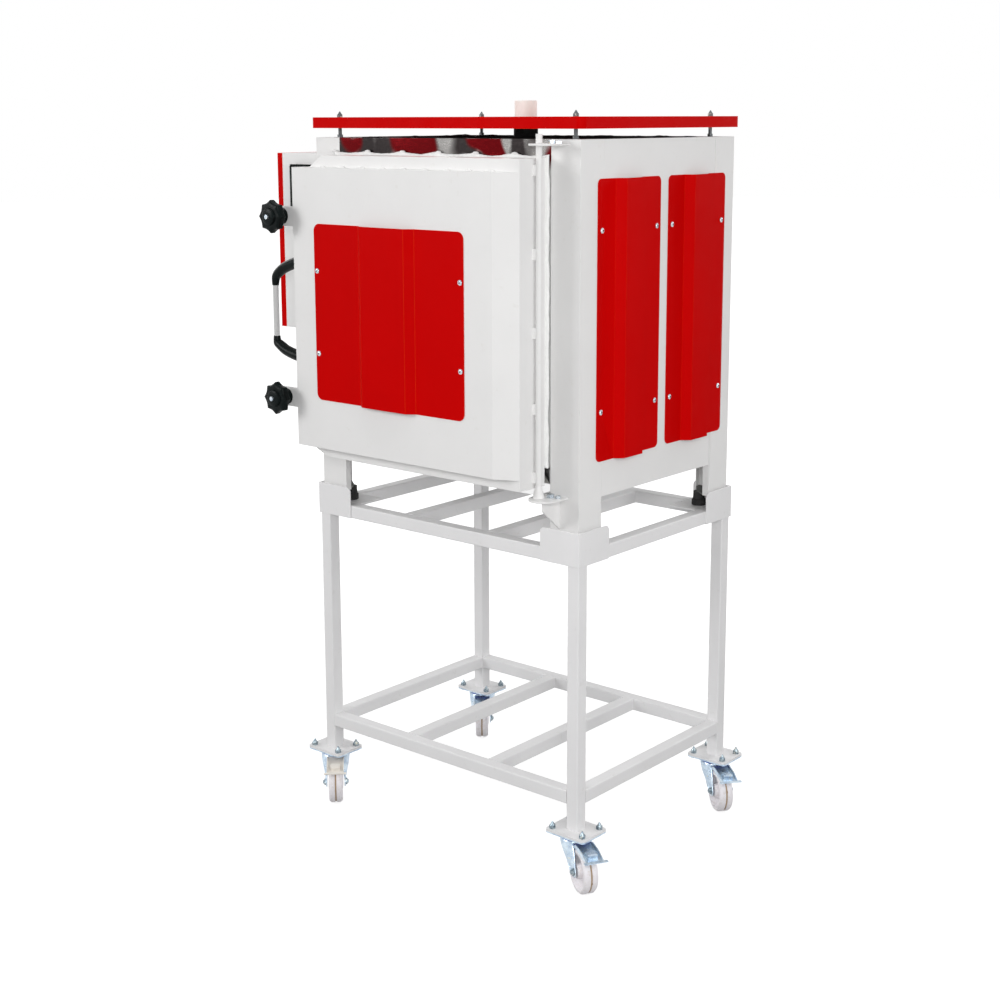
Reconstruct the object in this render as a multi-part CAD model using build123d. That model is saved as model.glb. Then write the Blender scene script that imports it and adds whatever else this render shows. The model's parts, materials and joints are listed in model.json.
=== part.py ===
from build123d import *
import os
from math import hypot

# Ceramic kiln on a welded tube stand with braked swivel castors.
# X runs to the right of the kiln, Y to its back and Z up, all in millimetres.
# Everything is placed from the centre line of the stand and from the floor, and at
# the end the whole kiln is moved so that its origin is the bottom centre of its box.

# Castors
WHEEL_RADIUS = 48.5
WHEEL_WIDTH = 32.0
WHEEL_WEB = 12.0
WHEEL_RIM = 10.0
WHEEL_GROOVE = 4.0
WHEEL_HUB_RADIUS = 15.0
WHEEL_SIDE_GAP = 1.6
AXLE_RADIUS = 5.0
RUNNING_FIT = 0.06
TRAIL = 46.0
FORK_SHEET = 2.5
FORK_TAIL = 36.0
FORK_NOSE = 44.0
FORK_EYE = 12.0
FORK_CROWN_GAP = 11.0
CROWN_WIDTH = 70.0
CROWN_ROUND = 30.0
KINGPIN_RADIUS = 6.0
RACE_RADIUS = 31.0
RACE_HEIGHT = 4.5
RACE_GAP = 0.5
SWIVEL_PLATE = 3.0
CASTOR_ANGLES = {"fr": -31.0, "fl": -45.0, "br": -38.5, "bl": -50.0}
PEDAL_PIVOT_X = 36.0
PEDAL_PIVOT_RADIUS = 2.0
PEDAL_PIVOT_DROP = 3.8
PEDAL_EAR = 3.2
PEDAL_SHEET = 2.0
PEDAL_REACH = 112.0
PEDAL_DROP = 10.5
PEDAL_CHEEK = 9.0
THUMB_FROM_END = 14.0
THUMB_LENGTH = 22.0
THUMB_HALF = 11.0
THUMB_RISE = 7.0
PEDAL_LIP = 26.0
PEDAL_CLEARANCE = 0.6

# Stand
STAND_MARGIN_X = 6.0
STAND_MARGIN_Y = 6.5
TUBE = 30.0
TUBE_WALL = 2.0
TUBE_CORNER = 3.0
LEG_LENGTH = 612.0
LOWER_FRAME_RISE = 56.0
CROSS_RAIL_X = 123.0
WELD_PLATE_X = 105.0
WELD_PLATE_Y = 85.0
WELD_PLATE = 5.0
PLATE_CORNER = 9.0
BOLT_SPACING_X = 80.0
BOLT_SPACING_Y = 60.0
BOLT_RADIUS = 4.0
BOLT_CLEARANCE = 0.3
NUT_RADIUS = 7.5
NUT_HEIGHT = 6.5
NUT_POINT = 9.0
POCKET_SHEET = 3.0
POCKET_LEG = 104.0
POCKET_HEIGHT = 73.0
POCKET_CORNER = 12.0
GUSSET_REACH = 72.0

# Feet between the stand and the kiln
FOOT_RADIUS = 22.5
FOOT_HEIGHT = 32.0
FOOT_INSET = 45.0

# Kiln body
BODY_WIDTH = 753.0
BODY_DEPTH = 562.0
BODY_HEIGHT = 809.0
LEG_SHOW = 73.5
SHEET = 2.0
POST_FRONT = 74.5
POST_SIDE = 77.0
POST_RETURN = 15.0
SEAM = 0.4
TOP_SINK = 4.0
SIDE_WALL = 151.5
BACK_WALL = 123.0
ROOF_LINING = 132.5
FLOOR_LINING = 140.0
SIDE_AIR = 24.0
BACK_AIR = 15.0

# Heating elements
ELEMENT_RADIUS = 7.0
ELEMENT_ROWS = 6
ELEMENT_GROOVE = 18.0
ELEMENT_MARGIN = 57.5
ELEMENT_END = 28.0
ELEMENT_SEAT = 0.2

# Vent, thermocouple and roof
VENT_OUTER = 25.0
VENT_INNER = 17.0
VENT_Y = 8.0
VENT_TOP = 80.0
VENT_FIT = 0.3
PROBE_RADIUS = 5.0
PROBE_INSET = 60.0
PROBE_REACH = 40.0
PROBE_HEAD = 16.0
ROOF_OVERHANG = 9.0
ROOF_LIP = 24.0
ROOF_CORNER = 14.0
ROOF_GAP = 20.5
STANDOFF_RADIUS = 4.0
STANDOFF_INSET_X = 40.5
STANDOFF_INSET_Y = 36.0
STANDOFF_NUT = 6.5

# Red covers on the right side
COVER_SHEET = 1.5
COVER_BOTTOM = 75.5
COVER_TOP_GAP = 78.5
COVER_FRONT = 56.0
COVER_BACK = 35.0
COVER_GAP = 29.0
COVER_CORNER = 12.0
COVER_RISE = 18.0
COVER_BASE = 95.0
COVER_RIDGE = 65.0
COVER_BASE_SHIFT = 3.0
SCREW_RADIUS = 5.5
SCREW_HEAD = 3.0
SCREW_SHANK = 2.4
SCREW_EDGE = 14.0
SCREW_LOW = 104.0

# Control box on the left side
BOX_WIDTH = 115.0
BOX_DEPTH = 381.0
BOX_BOTTOM = 295.5
BOX_TOP_GAP = 36.0
BOX_SHEET = 1.5
LID_DEPTH = 17.0
SWITCH_NEAR = 17.5
SWITCH_WIDTH = 54.0
SWITCH_DEPTH = 19.0
SWITCH_TOP_GAP = 33.0
SWITCH_HEIGHT = 128.0
SWITCH_RIBS = 6

# Door
HINGE_INSET = 73.0
HINGE_REACH = 41.0
ROD_RADIUS = 6.75
DOOR_HINGE_GAP = 9.5
DOOR_LEFT_INSET = 40.5
DOOR_REAR_GAP = 9.0
DOOR_FRAME_DEPTH = 82.0
DOOR_SILL = 26.5
DOOR_TOP_GAP = 37.0
DOOR_CUT_X = 67.0
DOOR_CUT_TOP = 45.0
DOOR_CUT_LOW = 30.0
SKIN_DEPTH = 24.0
SKIN_BOTTOM = 50.5
SKIN_TOP_GAP = 63.0
SKIN_BEVEL = 52.0
SKIN_SIDE = 66.0
PLUG_REACH = 34.0
PLUG_CLEARANCE = 9.0
PLUG_TAPER = 8.0
SEAL_LEFT_INSET = 18.0
SEAL_SHOW = 9.0
SEAL_BOTTOM = 60.0
SEAL_TOP_GAP = 25.5
SEAL_CLEARANCE = 0.3
PANEL_LEFT_INSET = 67.0
PANEL_RIGHT_INSET = 126.5
PANEL_BOTTOM = 161.5
PANEL_TOP_GAP = 184.0
PANEL_CORNER = 16.0
PANEL_RISE = 14.0
PANEL_BASE = 164.0
PANEL_RIDGE = 128.0
PANEL_SCREW_EDGE = 9.0
PANEL_SCREW_LOW = 104.0
PANEL_SCREW_HIGH = 103.0
LUG_SHARES = [0.035, 0.248, 0.48, 0.7165, 0.965]
LUG_TALL = 22.0
LUG_HALF = 5.0
ROD_BELOW = 7.0
ROD_ABOVE = 19.0
COLLAR_RADIUS = 12.5
COLLAR_HEIGHT = 25.0
BRACKET_SHEET = 4.0
BRACKET_LOW = 3.3
BRACKET_TOP_GAP = 12.0
BRACKET_INNER = 20.5
BRACKET_OUTER = 45.5
BRACKET_REACH = 71.0
BRACKET_NUT_STEP = 15.5
BRACKET_NUT_REACH = 21.0
BRACKET_NUT_RADIUS = 8.5
BRACKET_NUT_HEIGHT = 7.0
BRACKET_BOLT_STEP = 31.5
BRACKET_BOLT_REACH = 17.0
BRACKET_BOLT_RADIUS = 6.5
BRACKET_BOLT_HEIGHT = 5.0
GUSSET_STEP = 22.5
GUSSET_OUT = 57.0
GUSSET_EDGE = 19.0
GUSSET_TALL = 66.0

# Latches and handle on the door's left edge
LATCH_REACH = 34.0
LATCH_LOW = 157.5
LATCH_TOP_GAP = 171.0
KNOB_RADIUS = 37.0
KNOB_LOBES = 8
KNOB_WAIST = 31.0
KNOB_SCALLOP = 12.0
KNOB_ROUND = 3.0
KNOB_RIM = 19.0
KNOB_HUB = 18.5
KNOB_HUB_BACK = 21.0
KNOB_HUB_FRONT = 6.0
STUD_RADIUS = 5.0
STUD_SHOW = 4.0
STUD_CLEARANCE = 0.4
EAR_REACH = 54.0
EAR_SHEET = 4.0
EAR_SET = 1.0
EAR_DEPTH = 60.0
EAR_HEIGHT = 44.0
CATCH_BASE = 36.0
CATCH_PLATE = 4.0
CATCH_RADIUS = 13.0
CATCH_DEPTH = 22.0
CATCH_CLEARANCE = 1.6
CATCH_ENGAGE = 12.0
GRIP_REACH = 76.0
GRIP_SET = 12.0
GRIP_RADIUS = 6.5
GRIP_LENGTH = 119.0
GRIP_DROP = 12.0
GRIP_BASE_SPACING = 207.0
ELBOW_RADIUS = 8.5
ELBOW_BASE = 12.0
ELBOW_BASE_LENGTH = 8.0
ELBOW_RISE = 22.0
ELBOW_BEND = 12.0

# Heights and faces that follow from the sizes above
AXLE_Z = WHEEL_RADIUS
CROWN_Z = 2 * WHEEL_RADIUS + FORK_CROWN_GAP
CROWN_TOP = CROWN_Z + FORK_SHEET
RACE_TOP = CROWN_TOP + RACE_GAP + RACE_HEIGHT
SWIVEL_TOP = RACE_TOP + SWIVEL_PLATE
CASTOR_TOP = SWIVEL_TOP + WELD_PLATE
LOWER_Z = CASTOR_TOP + LOWER_FRAME_RISE
STAND_TOP = CASTOR_TOP + LEG_LENGTH
UPPER_Z = STAND_TOP - TUBE
STAND_WIDTH = BODY_WIDTH + 2 * STAND_MARGIN_X
STAND_DEPTH = BODY_DEPTH + 2 * STAND_MARGIN_Y
LEG_X = STAND_WIDTH / 2 - TUBE / 2
LEG_Y = STAND_DEPTH / 2 - TUBE / 2
POST_Z = STAND_TOP + FOOT_HEIGHT
BODY_TOP = POST_Z + BODY_HEIGHT
SHELL_Z = POST_Z + LEG_SHOW
SHELL_HEIGHT = BODY_HEIGHT - LEG_SHOW
BODY_X = BODY_WIDTH / 2
BODY_Y = BODY_DEPTH / 2
FOOT_X = BODY_X - FOOT_INSET
FOOT_Y = BODY_Y - FOOT_INSET
PROBE_Y = BOX_DEPTH - BODY_Y - PROBE_INSET
LINING_X = BODY_X - SHEET - SIDE_AIR
LINING_BACK = BODY_Y - SHEET - BACK_AIR
LINING_FRONT = SHEET - BODY_Y
LINING_Z = SHELL_Z + SHEET
TOP_Z = BODY_TOP - TOP_SINK - SHEET
CHAMBER_Z = LINING_Z + FLOOR_LINING
CHAMBER_TOP = TOP_Z - ROOF_LINING
CHAMBER_HEIGHT = CHAMBER_TOP - CHAMBER_Z
CHAMBER_BACK = LINING_BACK - BACK_WALL
CHAMBER_X = BODY_X - SIDE_WALL
CHAMBER_WIDTH = 2 * CHAMBER_X
ELEMENT_PITCH = (CHAMBER_HEIGHT - 2 * ELEMENT_MARGIN) / (ELEMENT_ROWS - 1)
ROOF_WIDTH = BODY_WIDTH + 2 * ROOF_OVERHANG
ROOF_DEPTH = BODY_DEPTH + 2 * ROOF_OVERHANG
STANDOFF_X = BODY_X - STANDOFF_INSET_X
STANDOFF_Y = BODY_Y - STANDOFF_INSET_Y
COVER_HEIGHT = SHELL_HEIGHT - COVER_BOTTOM - COVER_TOP_GAP
COVER_FIRST_Y = COVER_FRONT - BODY_Y
COVER_WIDTH = (BODY_DEPTH - COVER_FRONT - COVER_BACK - COVER_GAP) / 2
COVER_SPACING = COVER_WIDTH + COVER_GAP
SCREW_SPACING = COVER_HEIGHT - 2 * SCREW_LOW
BOX_HEIGHT = SHELL_HEIGHT - BOX_BOTTOM - BOX_TOP_GAP
SWITCH_X1 = -BODY_X - SWITCH_NEAR
SWITCH_X0 = SWITCH_X1 - SWITCH_WIDTH
HINGE_X = BODY_X - HINGE_INSET
HINGE_Y = -BODY_Y - HINGE_REACH
DOOR_RIGHT = HINGE_X - DOOR_HINGE_GAP
DOOR_LEFT = DOOR_LEFT_INSET - BODY_X
DOOR_FRAME_HEIGHT = SHELL_HEIGHT - DOOR_SILL - DOOR_TOP_GAP
SKIN_HEIGHT = SHELL_HEIGHT - SKIN_BOTTOM - SKIN_TOP_GAP
SEAL_LEFT = DOOR_LEFT + SEAL_LEFT_INSET
SEAL_RIGHT = DOOR_RIGHT + SEAL_SHOW
SEAL_HEIGHT = SHELL_HEIGHT - SEAL_BOTTOM - SEAL_TOP_GAP
PANEL_LEFT = DOOR_LEFT + PANEL_LEFT_INSET
PANEL_WIDTH = DOOR_RIGHT - PANEL_RIGHT_INSET - PANEL_LEFT
PANEL_HEIGHT = SHELL_HEIGHT - PANEL_BOTTOM - PANEL_TOP_GAP
PANEL_SCREW_SPACING = PANEL_HEIGHT - PANEL_SCREW_LOW - PANEL_SCREW_HIGH
BRACKET_HIGH = SHELL_HEIGHT - BRACKET_TOP_GAP
BRACKET_LEFT = HINGE_X - BRACKET_INNER
BRACKET_RIGHT = HINGE_X + BRACKET_OUTER
LATCH_X = DOOR_LEFT - LATCH_REACH
LATCH_HIGH = SHELL_HEIGHT - LATCH_TOP_GAP
EAR_LEFT = DOOR_LEFT - EAR_REACH
GRIP_X = DOOR_LEFT - GRIP_REACH
GRIP_MIDDLE = (LATCH_LOW + LATCH_HIGH) / 2 - GRIP_DROP
ROOF_Z = BODY_TOP + ROOF_GAP
ROOF_TOP = ROOF_Z + ROOF_LIP
DOOR_BACK = -BODY_Y - DOOR_REAR_GAP
DOOR_FRONT = DOOR_BACK - DOOR_FRAME_DEPTH
DOOR_Z = SHELL_Z + DOOR_SILL
SKIN_FACE = DOOR_FRONT - SKIN_DEPTH
EAR_FRONT = SKIN_FACE + EAR_SET
EAR_REAR = EAR_FRONT + EAR_DEPTH
GRIP_Y = SKIN_FACE + GRIP_SET
SKIN_Z = SHELL_Z + SKIN_BOTTOM
PANEL_Z = SHELL_Z + PANEL_BOTTOM
BOX_Z = SHELL_Z + BOX_BOTTOM
FORK_INNER = WHEEL_WIDTH / 2 + WHEEL_SIDE_GAP + PEDAL_SHEET + 2 * PEDAL_CLEARANCE
FORK_OUTER = FORK_INNER + FORK_SHEET
PEDAL_OUTER = FORK_INNER - PEDAL_CLEARANCE
PEDAL_INNER = PEDAL_OUTER - PEDAL_SHEET
PEDAL_Z = CROWN_Z - PEDAL_PIVOT_DROP


def block(x0, x1, y0, y1, z0, z1):
    """Box between two corners."""
    middle = Pos((x0 + x1) / 2, (y0 + y1) / 2, (z0 + z1) / 2)
    return middle * Box(x1 - x0, y1 - y0, z1 - z0)


def rod_x(x0, x1, y, z, radius):
    """Round bar along X."""
    return Pos((x0 + x1) / 2, y, z) * Rot(0, 90, 0) * Cylinder(radius, x1 - x0)


def rod_y(x, y0, y1, z, radius):
    """Round bar along Y."""
    return Pos(x, (y0 + y1) / 2, z) * Rot(90, 0, 0) * Cylinder(radius, y1 - y0)


def rod_z(x, y, z0, z1, radius):
    """Round bar along Z."""
    return Pos(x, y, (z0 + z1) / 2) * Cylinder(radius, z1 - z0)


def upright(points, z0, z1):
    """Plan outline pulled up from one height to another."""
    face = make_face(Polyline(*points, close=True))
    return Pos(0, 0, z0) * extrude(face, z1 - z0)


def front_sketch(face, y0, y1):
    """Outline drawn in X and Z, pulled along Y."""
    return Pos(0, y1, 0) * Rot(90, 0, 0) * extrude(face, y1 - y0)


def side_sketch(face, x0, x1):
    """Outline drawn in Y and Z, pulled along X."""
    return Plane.YZ.offset(x0) * extrude(face, x1 - x0)


def folded(points, thickness):
    """Section of a folded sheet: the points run along its outer skin, the metal is on their left."""
    count = len(points)
    inner = []
    for index, (x, y) in enumerate(points):
        before = points[max(index - 1, 0)]
        after = points[min(index + 1, count - 1)]
        ins = unit(before, (x, y)) if index > 0 else unit((x, y), after)
        outs = unit((x, y), after) if index < count - 1 else ins
        nx, ny = -ins[1] - outs[1], ins[0] + outs[0]
        scale = 2 * thickness / (nx * nx + ny * ny)
        inner.append((x + nx * scale, y + ny * scale))
    return list(points) + inner[::-1]


def unit(start, end):
    """Direction from one plan point to another."""
    dx, dy = end[0] - start[0], end[1] - start[1]
    length = hypot(dx, dy)
    return dx / length, dy / length


def flip_x(solid):
    """The same solid on the other side of the kiln."""
    return mirror(solid, Plane.YZ)


def flip_y(solid):
    """The same solid at the other end of the kiln."""
    return mirror(solid, Plane.XZ)


def corners(solid):
    """Four copies of a front right solid, one for each corner."""
    left = flip_x(solid)
    return [solid, left, flip_y(solid), flip_y(left)]


def hex_bar(radius, height):
    """Hexagonal prism standing on the XY plane."""
    return extrude(RegularPolygon(radius, 6), height)


def cap_nut(radius, height, point):
    """Hexagon nut with a pointed cap."""
    tip = Pos(0, 0, height + point / 2) * Cone(radius * 0.8, radius * 0.12, point)
    return hex_bar(radius, height) + tip


def tube_face():
    """Section of the stand's square tube."""
    outer = RectangleRounded(TUBE, TUBE, TUBE_CORNER)
    return outer - Rectangle(TUBE - 2 * TUBE_WALL, TUBE - 2 * TUBE_WALL)


def tube_x(x0, x1, y, z):
    """Square tube along X."""
    return Pos(x0, y, z) * Rot(0, 90, 0) * extrude(tube_face(), x1 - x0)


def tube_y(x, y0, y1, z):
    """Square tube along Y."""
    return Pos(x, y1, z) * Rot(90, 0, 0) * extrude(tube_face(), y1 - y0)


def legs():
    """Four square legs, closed at the top."""
    leg = Pos(LEG_X, -LEG_Y, CASTOR_TOP) * extrude(tube_face(), LEG_LENGTH)
    side = TUBE - 2 * TUBE_WALL
    lid = Pos(LEG_X, -LEG_Y, STAND_TOP - TUBE_WALL) * extrude(Rectangle(side, side), TUBE_WALL)
    return corners(leg + lid)


def frame_rails(z):
    """Four sides and two cross rails of one frame of the stand."""
    middle = z + TUBE / 2
    end_x = LEG_X - TUBE / 2
    end_y = LEG_Y - TUBE / 2
    long_rail = tube_x(-end_x, end_x, -LEG_Y, middle)
    side_rail = tube_y(LEG_X, -end_y, end_y, middle)
    cross = tube_y(CROSS_RAIL_X, -end_y, end_y, middle)
    return [long_rail, flip_y(long_rail), side_rail, flip_x(side_rail), cross, flip_x(cross)]


def pocket():
    """Upright angle plate that holds one foot of the kiln at the front right corner."""
    x = STAND_WIDTH / 2 + POCKET_SHEET
    y = STAND_DEPTH / 2 + POCKET_SHEET
    plan = folded([(x - POCKET_LEG, -y), (x, -y), (x, POCKET_LEG - y)], POCKET_SHEET)
    angle = upright(plan, UPPER_Z, UPPER_Z + POCKET_HEIGHT)
    far_x = [e for e in angle.edges().filter_by(Axis.Y) if e.center().X < x - POCKET_LEG + 1]
    far_y = [e for e in angle.edges().filter_by(Axis.X) if e.center().Y > POCKET_LEG - y - 1]
    tops = [max(far_x, key=lambda e: e.center().Z), max(far_y, key=lambda e: e.center().Z)]
    return fillet(tops, POCKET_CORNER)


def gusset():
    """Flat plate across one corner of the upper frame that carries a foot."""
    x = LEG_X - TUBE / 2
    y = LEG_Y - TUBE / 2
    return block(x - GUSSET_REACH, x, -y, GUSSET_REACH - y, STAND_TOP - POCKET_SHEET, STAND_TOP)


def bolt_places():
    """Bolt positions on a castor plate."""
    half_x, half_y = BOLT_SPACING_X / 2, BOLT_SPACING_Y / 2
    return [Pos(sx * half_x, sy * half_y, 0) for sx in (-1, 1) for sy in (-1, 1)]


def plate_with_holes(thickness):
    """Castor plate with its four bolt holes."""
    plate = RectangleRounded(WELD_PLATE_X, WELD_PLATE_Y, PLATE_CORNER)
    for place in bolt_places():
        plate -= place * Circle(BOLT_RADIUS + BOLT_CLEARANCE)
    return extrude(plate, thickness)


def weld_plate():
    """Plate under the front right leg."""
    return Pos(LEG_X, -LEG_Y, SWIVEL_TOP) * plate_with_holes(WELD_PLATE)


def swivel_head():
    """Fixed half of a castor: top plate, ball race and kingpin."""
    plate = Pos(0, 0, RACE_TOP) * plate_with_holes(SWIVEL_PLATE)
    race = Pos(0, 0, RACE_TOP - RACE_HEIGHT / 2) * Cone(RACE_RADIUS, RACE_RADIUS - 5, RACE_HEIGHT)
    pin = rod_z(0, 0, CROWN_Z - 0.5, RACE_TOP - RACE_HEIGHT, KINGPIN_RADIUS)
    head = Pos(0, 0, CROWN_Z - 4.5) * hex_bar(9.0, 4.0)
    return plate + race + pin + head


def castor_bolts():
    """Bolts of the front right castor with pointed cap nuts on top."""
    shank = rod_z(0, 0, RACE_TOP, CASTOR_TOP, BOLT_RADIUS)
    head = Pos(0, 0, RACE_TOP - 4.0) * hex_bar(6.8, 4.0)
    nut = Pos(0, 0, CASTOR_TOP) * cap_nut(NUT_RADIUS, NUT_HEIGHT, NUT_POINT)
    bolt = head + shank + nut
    centre = Pos(LEG_X, -LEG_Y, 0)
    return [centre * place * bolt for place in bolt_places()]


def fork_cheek():
    """One leg of the pressed fork, drawn in its own X and Z."""
    top = CROWN_TOP
    outline = [Line((-FORK_TAIL, top), (FORK_NOSE, top)).edge()]
    outline.append(Line((-FORK_TAIL, top - 14), (-FORK_TAIL, top)).edge())
    outline.append(Circle(FORK_EYE).edge().moved(Location((TRAIL, AXLE_Z, 0))))
    cheek = make_hull(outline)
    cheek -= Pos(TRAIL, AXLE_Z) * Circle(AXLE_RADIUS + 0.1)
    return front_sketch(cheek, FORK_INNER, FORK_OUTER)


def fork():
    """Swivelling fork of a castor, its trail along +X."""
    crown = block(-FORK_TAIL, FORK_NOSE, -FORK_INNER, FORK_INNER, CROWN_Z, CROWN_TOP)
    middle = (FORK_NOSE - FORK_TAIL) / 2
    round_off = RectangleRounded(FORK_TAIL + FORK_NOSE, CROWN_WIDTH, CROWN_ROUND)
    round_off = Pos(middle, 0, CROWN_Z) * extrude(round_off, 2 * FORK_SHEET)
    crown = crown & round_off
    cheek = fork_cheek()
    stub = rod_y(PEDAL_PIVOT_X, PEDAL_INNER, FORK_INNER, PEDAL_Z, PEDAL_PIVOT_RADIUS)
    side = cheek + stub
    body = crown + side + flip_y(side)
    return body - rod_z(0, 0, CROWN_Z - 1, CROWN_TOP + 1, KINGPIN_RADIUS + RUNNING_FIT)


def axle():
    """Axle bolt of a castor with its head and nut."""
    bar = rod_y(TRAIL, -FORK_OUTER, FORK_OUTER, AXLE_Z, AXLE_RADIUS)
    head = Pos(TRAIL, -FORK_OUTER, AXLE_Z) * Rot(90, 0, 0) * hex_bar(8.0, 5.0)
    return bar + head + flip_y(head)


def wheel():
    """Moulded wheel with a hub, a web, a rim and a groove round its tread."""
    hub_half = WHEEL_WIDTH / 2 + WHEEL_SIDE_GAP - 0.4
    half = WHEEL_WIDTH / 2
    inner = WHEEL_RADIUS - WHEEL_RIM
    bore = AXLE_RADIUS + RUNNING_FIT
    web = WHEEL_WEB / 2
    groove = WHEEL_GROOVE / 2
    shoulder = WHEEL_RADIUS - 4
    side = [(bore, hub_half), (WHEEL_HUB_RADIUS, hub_half), (WHEEL_HUB_RADIUS + 3, web)]
    side += [(inner - 3, web), (inner, half), (shoulder, half), (WHEEL_RADIUS, half - 5)]
    side += [(WHEEL_RADIUS, groove), (WHEEL_RADIUS - 2, groove)]
    points = side + [(r, -y) for r, y in side[::-1]]
    face = make_face(Polyline(*points, close=True))
    return Pos(TRAIL, 0, AXLE_Z) * revolve(face, Axis.Y)


def pedal_floor(x):
    """Height of the brake pedal's floor over its length."""
    return CROWN_Z - 4.0 - (x - PEDAL_PIVOT_X) * PEDAL_DROP / (PEDAL_REACH - PEDAL_PIVOT_X)


def pedal():
    """Brake pedal: a folded channel with a thumb rest and a lip at its end."""
    near, far = PEDAL_PIVOT_X - 2.0, PEDAL_REACH
    low, high = pedal_floor(near), pedal_floor(far)
    floor = [(near, low), (far, high), (far + 8, high + 3), (far + 8, high + 3 + PEDAL_SHEET)]
    floor += [(far - 1, high + PEDAL_SHEET), (near, low + PEDAL_SHEET)]
    tray = front_sketch(make_face(Polyline(*floor, close=True)), -PEDAL_INNER, PEDAL_INNER)
    ear = PEDAL_Z - PEDAL_EAR
    under = CROWN_Z - 1.0
    cheek = [(near - 4, ear), (near + 8, ear), (near + 14, pedal_floor(near + 14))]
    cheek += [(far, high), (far, high + PEDAL_SHEET), (far - 30, pedal_floor(far - 30) + PEDAL_CHEEK)]
    cheek += [(FORK_NOSE + 5, under + 4), (FORK_NOSE + 1, under), (near, under), (near - 4, under - 2.0)]
    eye = Pos(PEDAL_PIVOT_X, PEDAL_Z) * Circle(PEDAL_PIVOT_RADIUS + 0.1)
    side = front_sketch(make_face(Polyline(*cheek, close=True)) - eye, PEDAL_INNER, PEDAL_OUTER)
    end = far - THUMB_FROM_END
    start = end - THUMB_LENGTH
    rest = [(start, pedal_floor(start) + 1), (end, pedal_floor(end) + 1)]
    rest += [(end, pedal_floor(end) + THUMB_RISE + 2), (end - 4, pedal_floor(end) + THUMB_RISE + 4)]
    rest.append((start, pedal_floor(start) + THUMB_RISE))
    thumb = front_sketch(make_face(Polyline(*rest, close=True)), -THUMB_HALF, THUMB_HALF)
    lip = block(far, far + 8, -PEDAL_LIP, PEDAL_LIP, high + 3, high + 3 + PEDAL_SHEET)
    return tray + side + flip_y(side) + thumb + lip


def castor_place(corner):
    """Place of a castor's moving parts under its leg."""
    x = LEG_X if corner[1] == "r" else -LEG_X
    y = -LEG_Y if corner[0] == "f" else LEG_Y
    return Pos(x, y, 0) * Rot(0, 0, CASTOR_ANGLES[corner])


def foot():
    """Rubber foot under the front right post."""
    return rod_z(FOOT_X, -FOOT_Y, STAND_TOP, POST_Z, FOOT_RADIUS)


def post():
    """Folded corner post at the front right, with a foot plate."""
    left = BODY_X - POST_FRONT
    back = POST_SIDE - BODY_Y
    skin = [(left, POST_RETURN - BODY_Y), (left, -BODY_Y), (BODY_X, -BODY_Y)]
    skin += [(BODY_X, back), (BODY_X - POST_RETURN, back)]
    section = upright(folded(skin, SHEET), POST_Z, BODY_TOP)
    plate = block(left + SHEET, BODY_X - SHEET, SHEET - BODY_Y, back - SHEET, POST_Z, POST_Z + 3)
    return section + plate


def posts():
    """Four posts; those on the right have the outer holes of the side covers."""
    right_front, left_front, right_back, left_back = corners(post())
    for y, z in cover_screw_places():
        hole = rod_x(BODY_X - 2 * SHEET, BODY_X + 1, y, z, SCREW_SHANK + 0.2)
        if y < POST_SIDE - BODY_Y:
            right_front -= hole
        if y > BODY_Y - POST_SIDE:
            right_back -= hole
    return [right_front, left_front, right_back, left_back]


def side_panel():
    """Right wall of the shell between the posts, with folded edges."""
    y0 = POST_SIDE - BODY_Y + SEAM
    edge = BODY_X - POST_RETURN
    skin = [(edge, y0), (BODY_X, y0), (BODY_X, -y0), (edge, -y0)]
    return upright(folded(skin, SHEET), SHELL_Z, BODY_TOP)


def right_panel():
    """Right wall with the holes for the cover screws."""
    panel = side_panel()
    for y, z in cover_screw_places():
        if abs(y) < BODY_Y - POST_SIDE:
            panel -= rod_x(BODY_X - 2 * SHEET, BODY_X + 1, y, z, SCREW_SHANK + 0.2)
    return panel


def left_panel():
    """Left wall with the hole for the thermocouple."""
    hole = rod_x(-BODY_X - 1, SHEET * 2 - BODY_X, PROBE_Y, probe_z(), PROBE_RADIUS + VENT_FIT)
    return flip_x(side_panel()) - hole


def inner_edge():
    """Half width between the front posts."""
    return BODY_X - POST_FRONT - SEAM


def back_panel():
    """Back wall between the rear posts."""
    x = inner_edge()
    edge = BODY_Y - POST_RETURN
    skin = [(x, edge), (x, BODY_Y), (-x, BODY_Y), (-x, edge)]
    return upright(folded(skin, SHEET), SHELL_Z, BODY_TOP)


def corner_notches(z0, z1):
    """Space of the four posts in a flat panel."""
    x = BODY_X - POST_FRONT - SEAM - SHEET
    y = BODY_Y - POST_SIDE - SEAM - SHEET
    return corners(block(x, BODY_X + 1, -BODY_Y - 1, -y, z0, z1))


def flat_panel(z):
    """Flat panel that fills the shell between the posts."""
    x = BODY_X - SHEET
    y = BODY_Y - SHEET
    panel = block(-x, x, -y, y, z, z + SHEET)
    for notch in corner_notches(z - 1, z + SHEET + 1):
        panel -= notch
    return panel


def top_panel():
    """Sunk top with the hole for the vent tube."""
    hole = rod_z(0, VENT_Y, TOP_Z - 1, TOP_Z + SHEET + 1, VENT_OUTER + VENT_FIT)
    return flat_panel(TOP_Z) - hole


def mirror_plate():
    """Polished front plate round the mouth of the chamber, with a lip at its top."""
    x = inner_edge()
    plate = block(-x, x, -BODY_Y, LINING_FRONT, SHELL_Z, BODY_TOP)
    lip = block(-x, x, LINING_FRONT, LINING_FRONT + 8, BODY_TOP - SHEET, BODY_TOP)
    mouth = block(-CHAMBER_X, CHAMBER_X, -BODY_Y - 1, LINING_FRONT + 1, CHAMBER_Z, CHAMBER_TOP)
    return plate + lip - mouth


def return_slot():
    """Slot in the brickwork for the folded edge of the front right post."""
    x = BODY_X - POST_FRONT
    return block(x - 1, x + SHEET + 1, -BODY_Y, POST_RETURN + 1 - BODY_Y, LINING_Z - 1, TOP_Z + 1)


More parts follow.
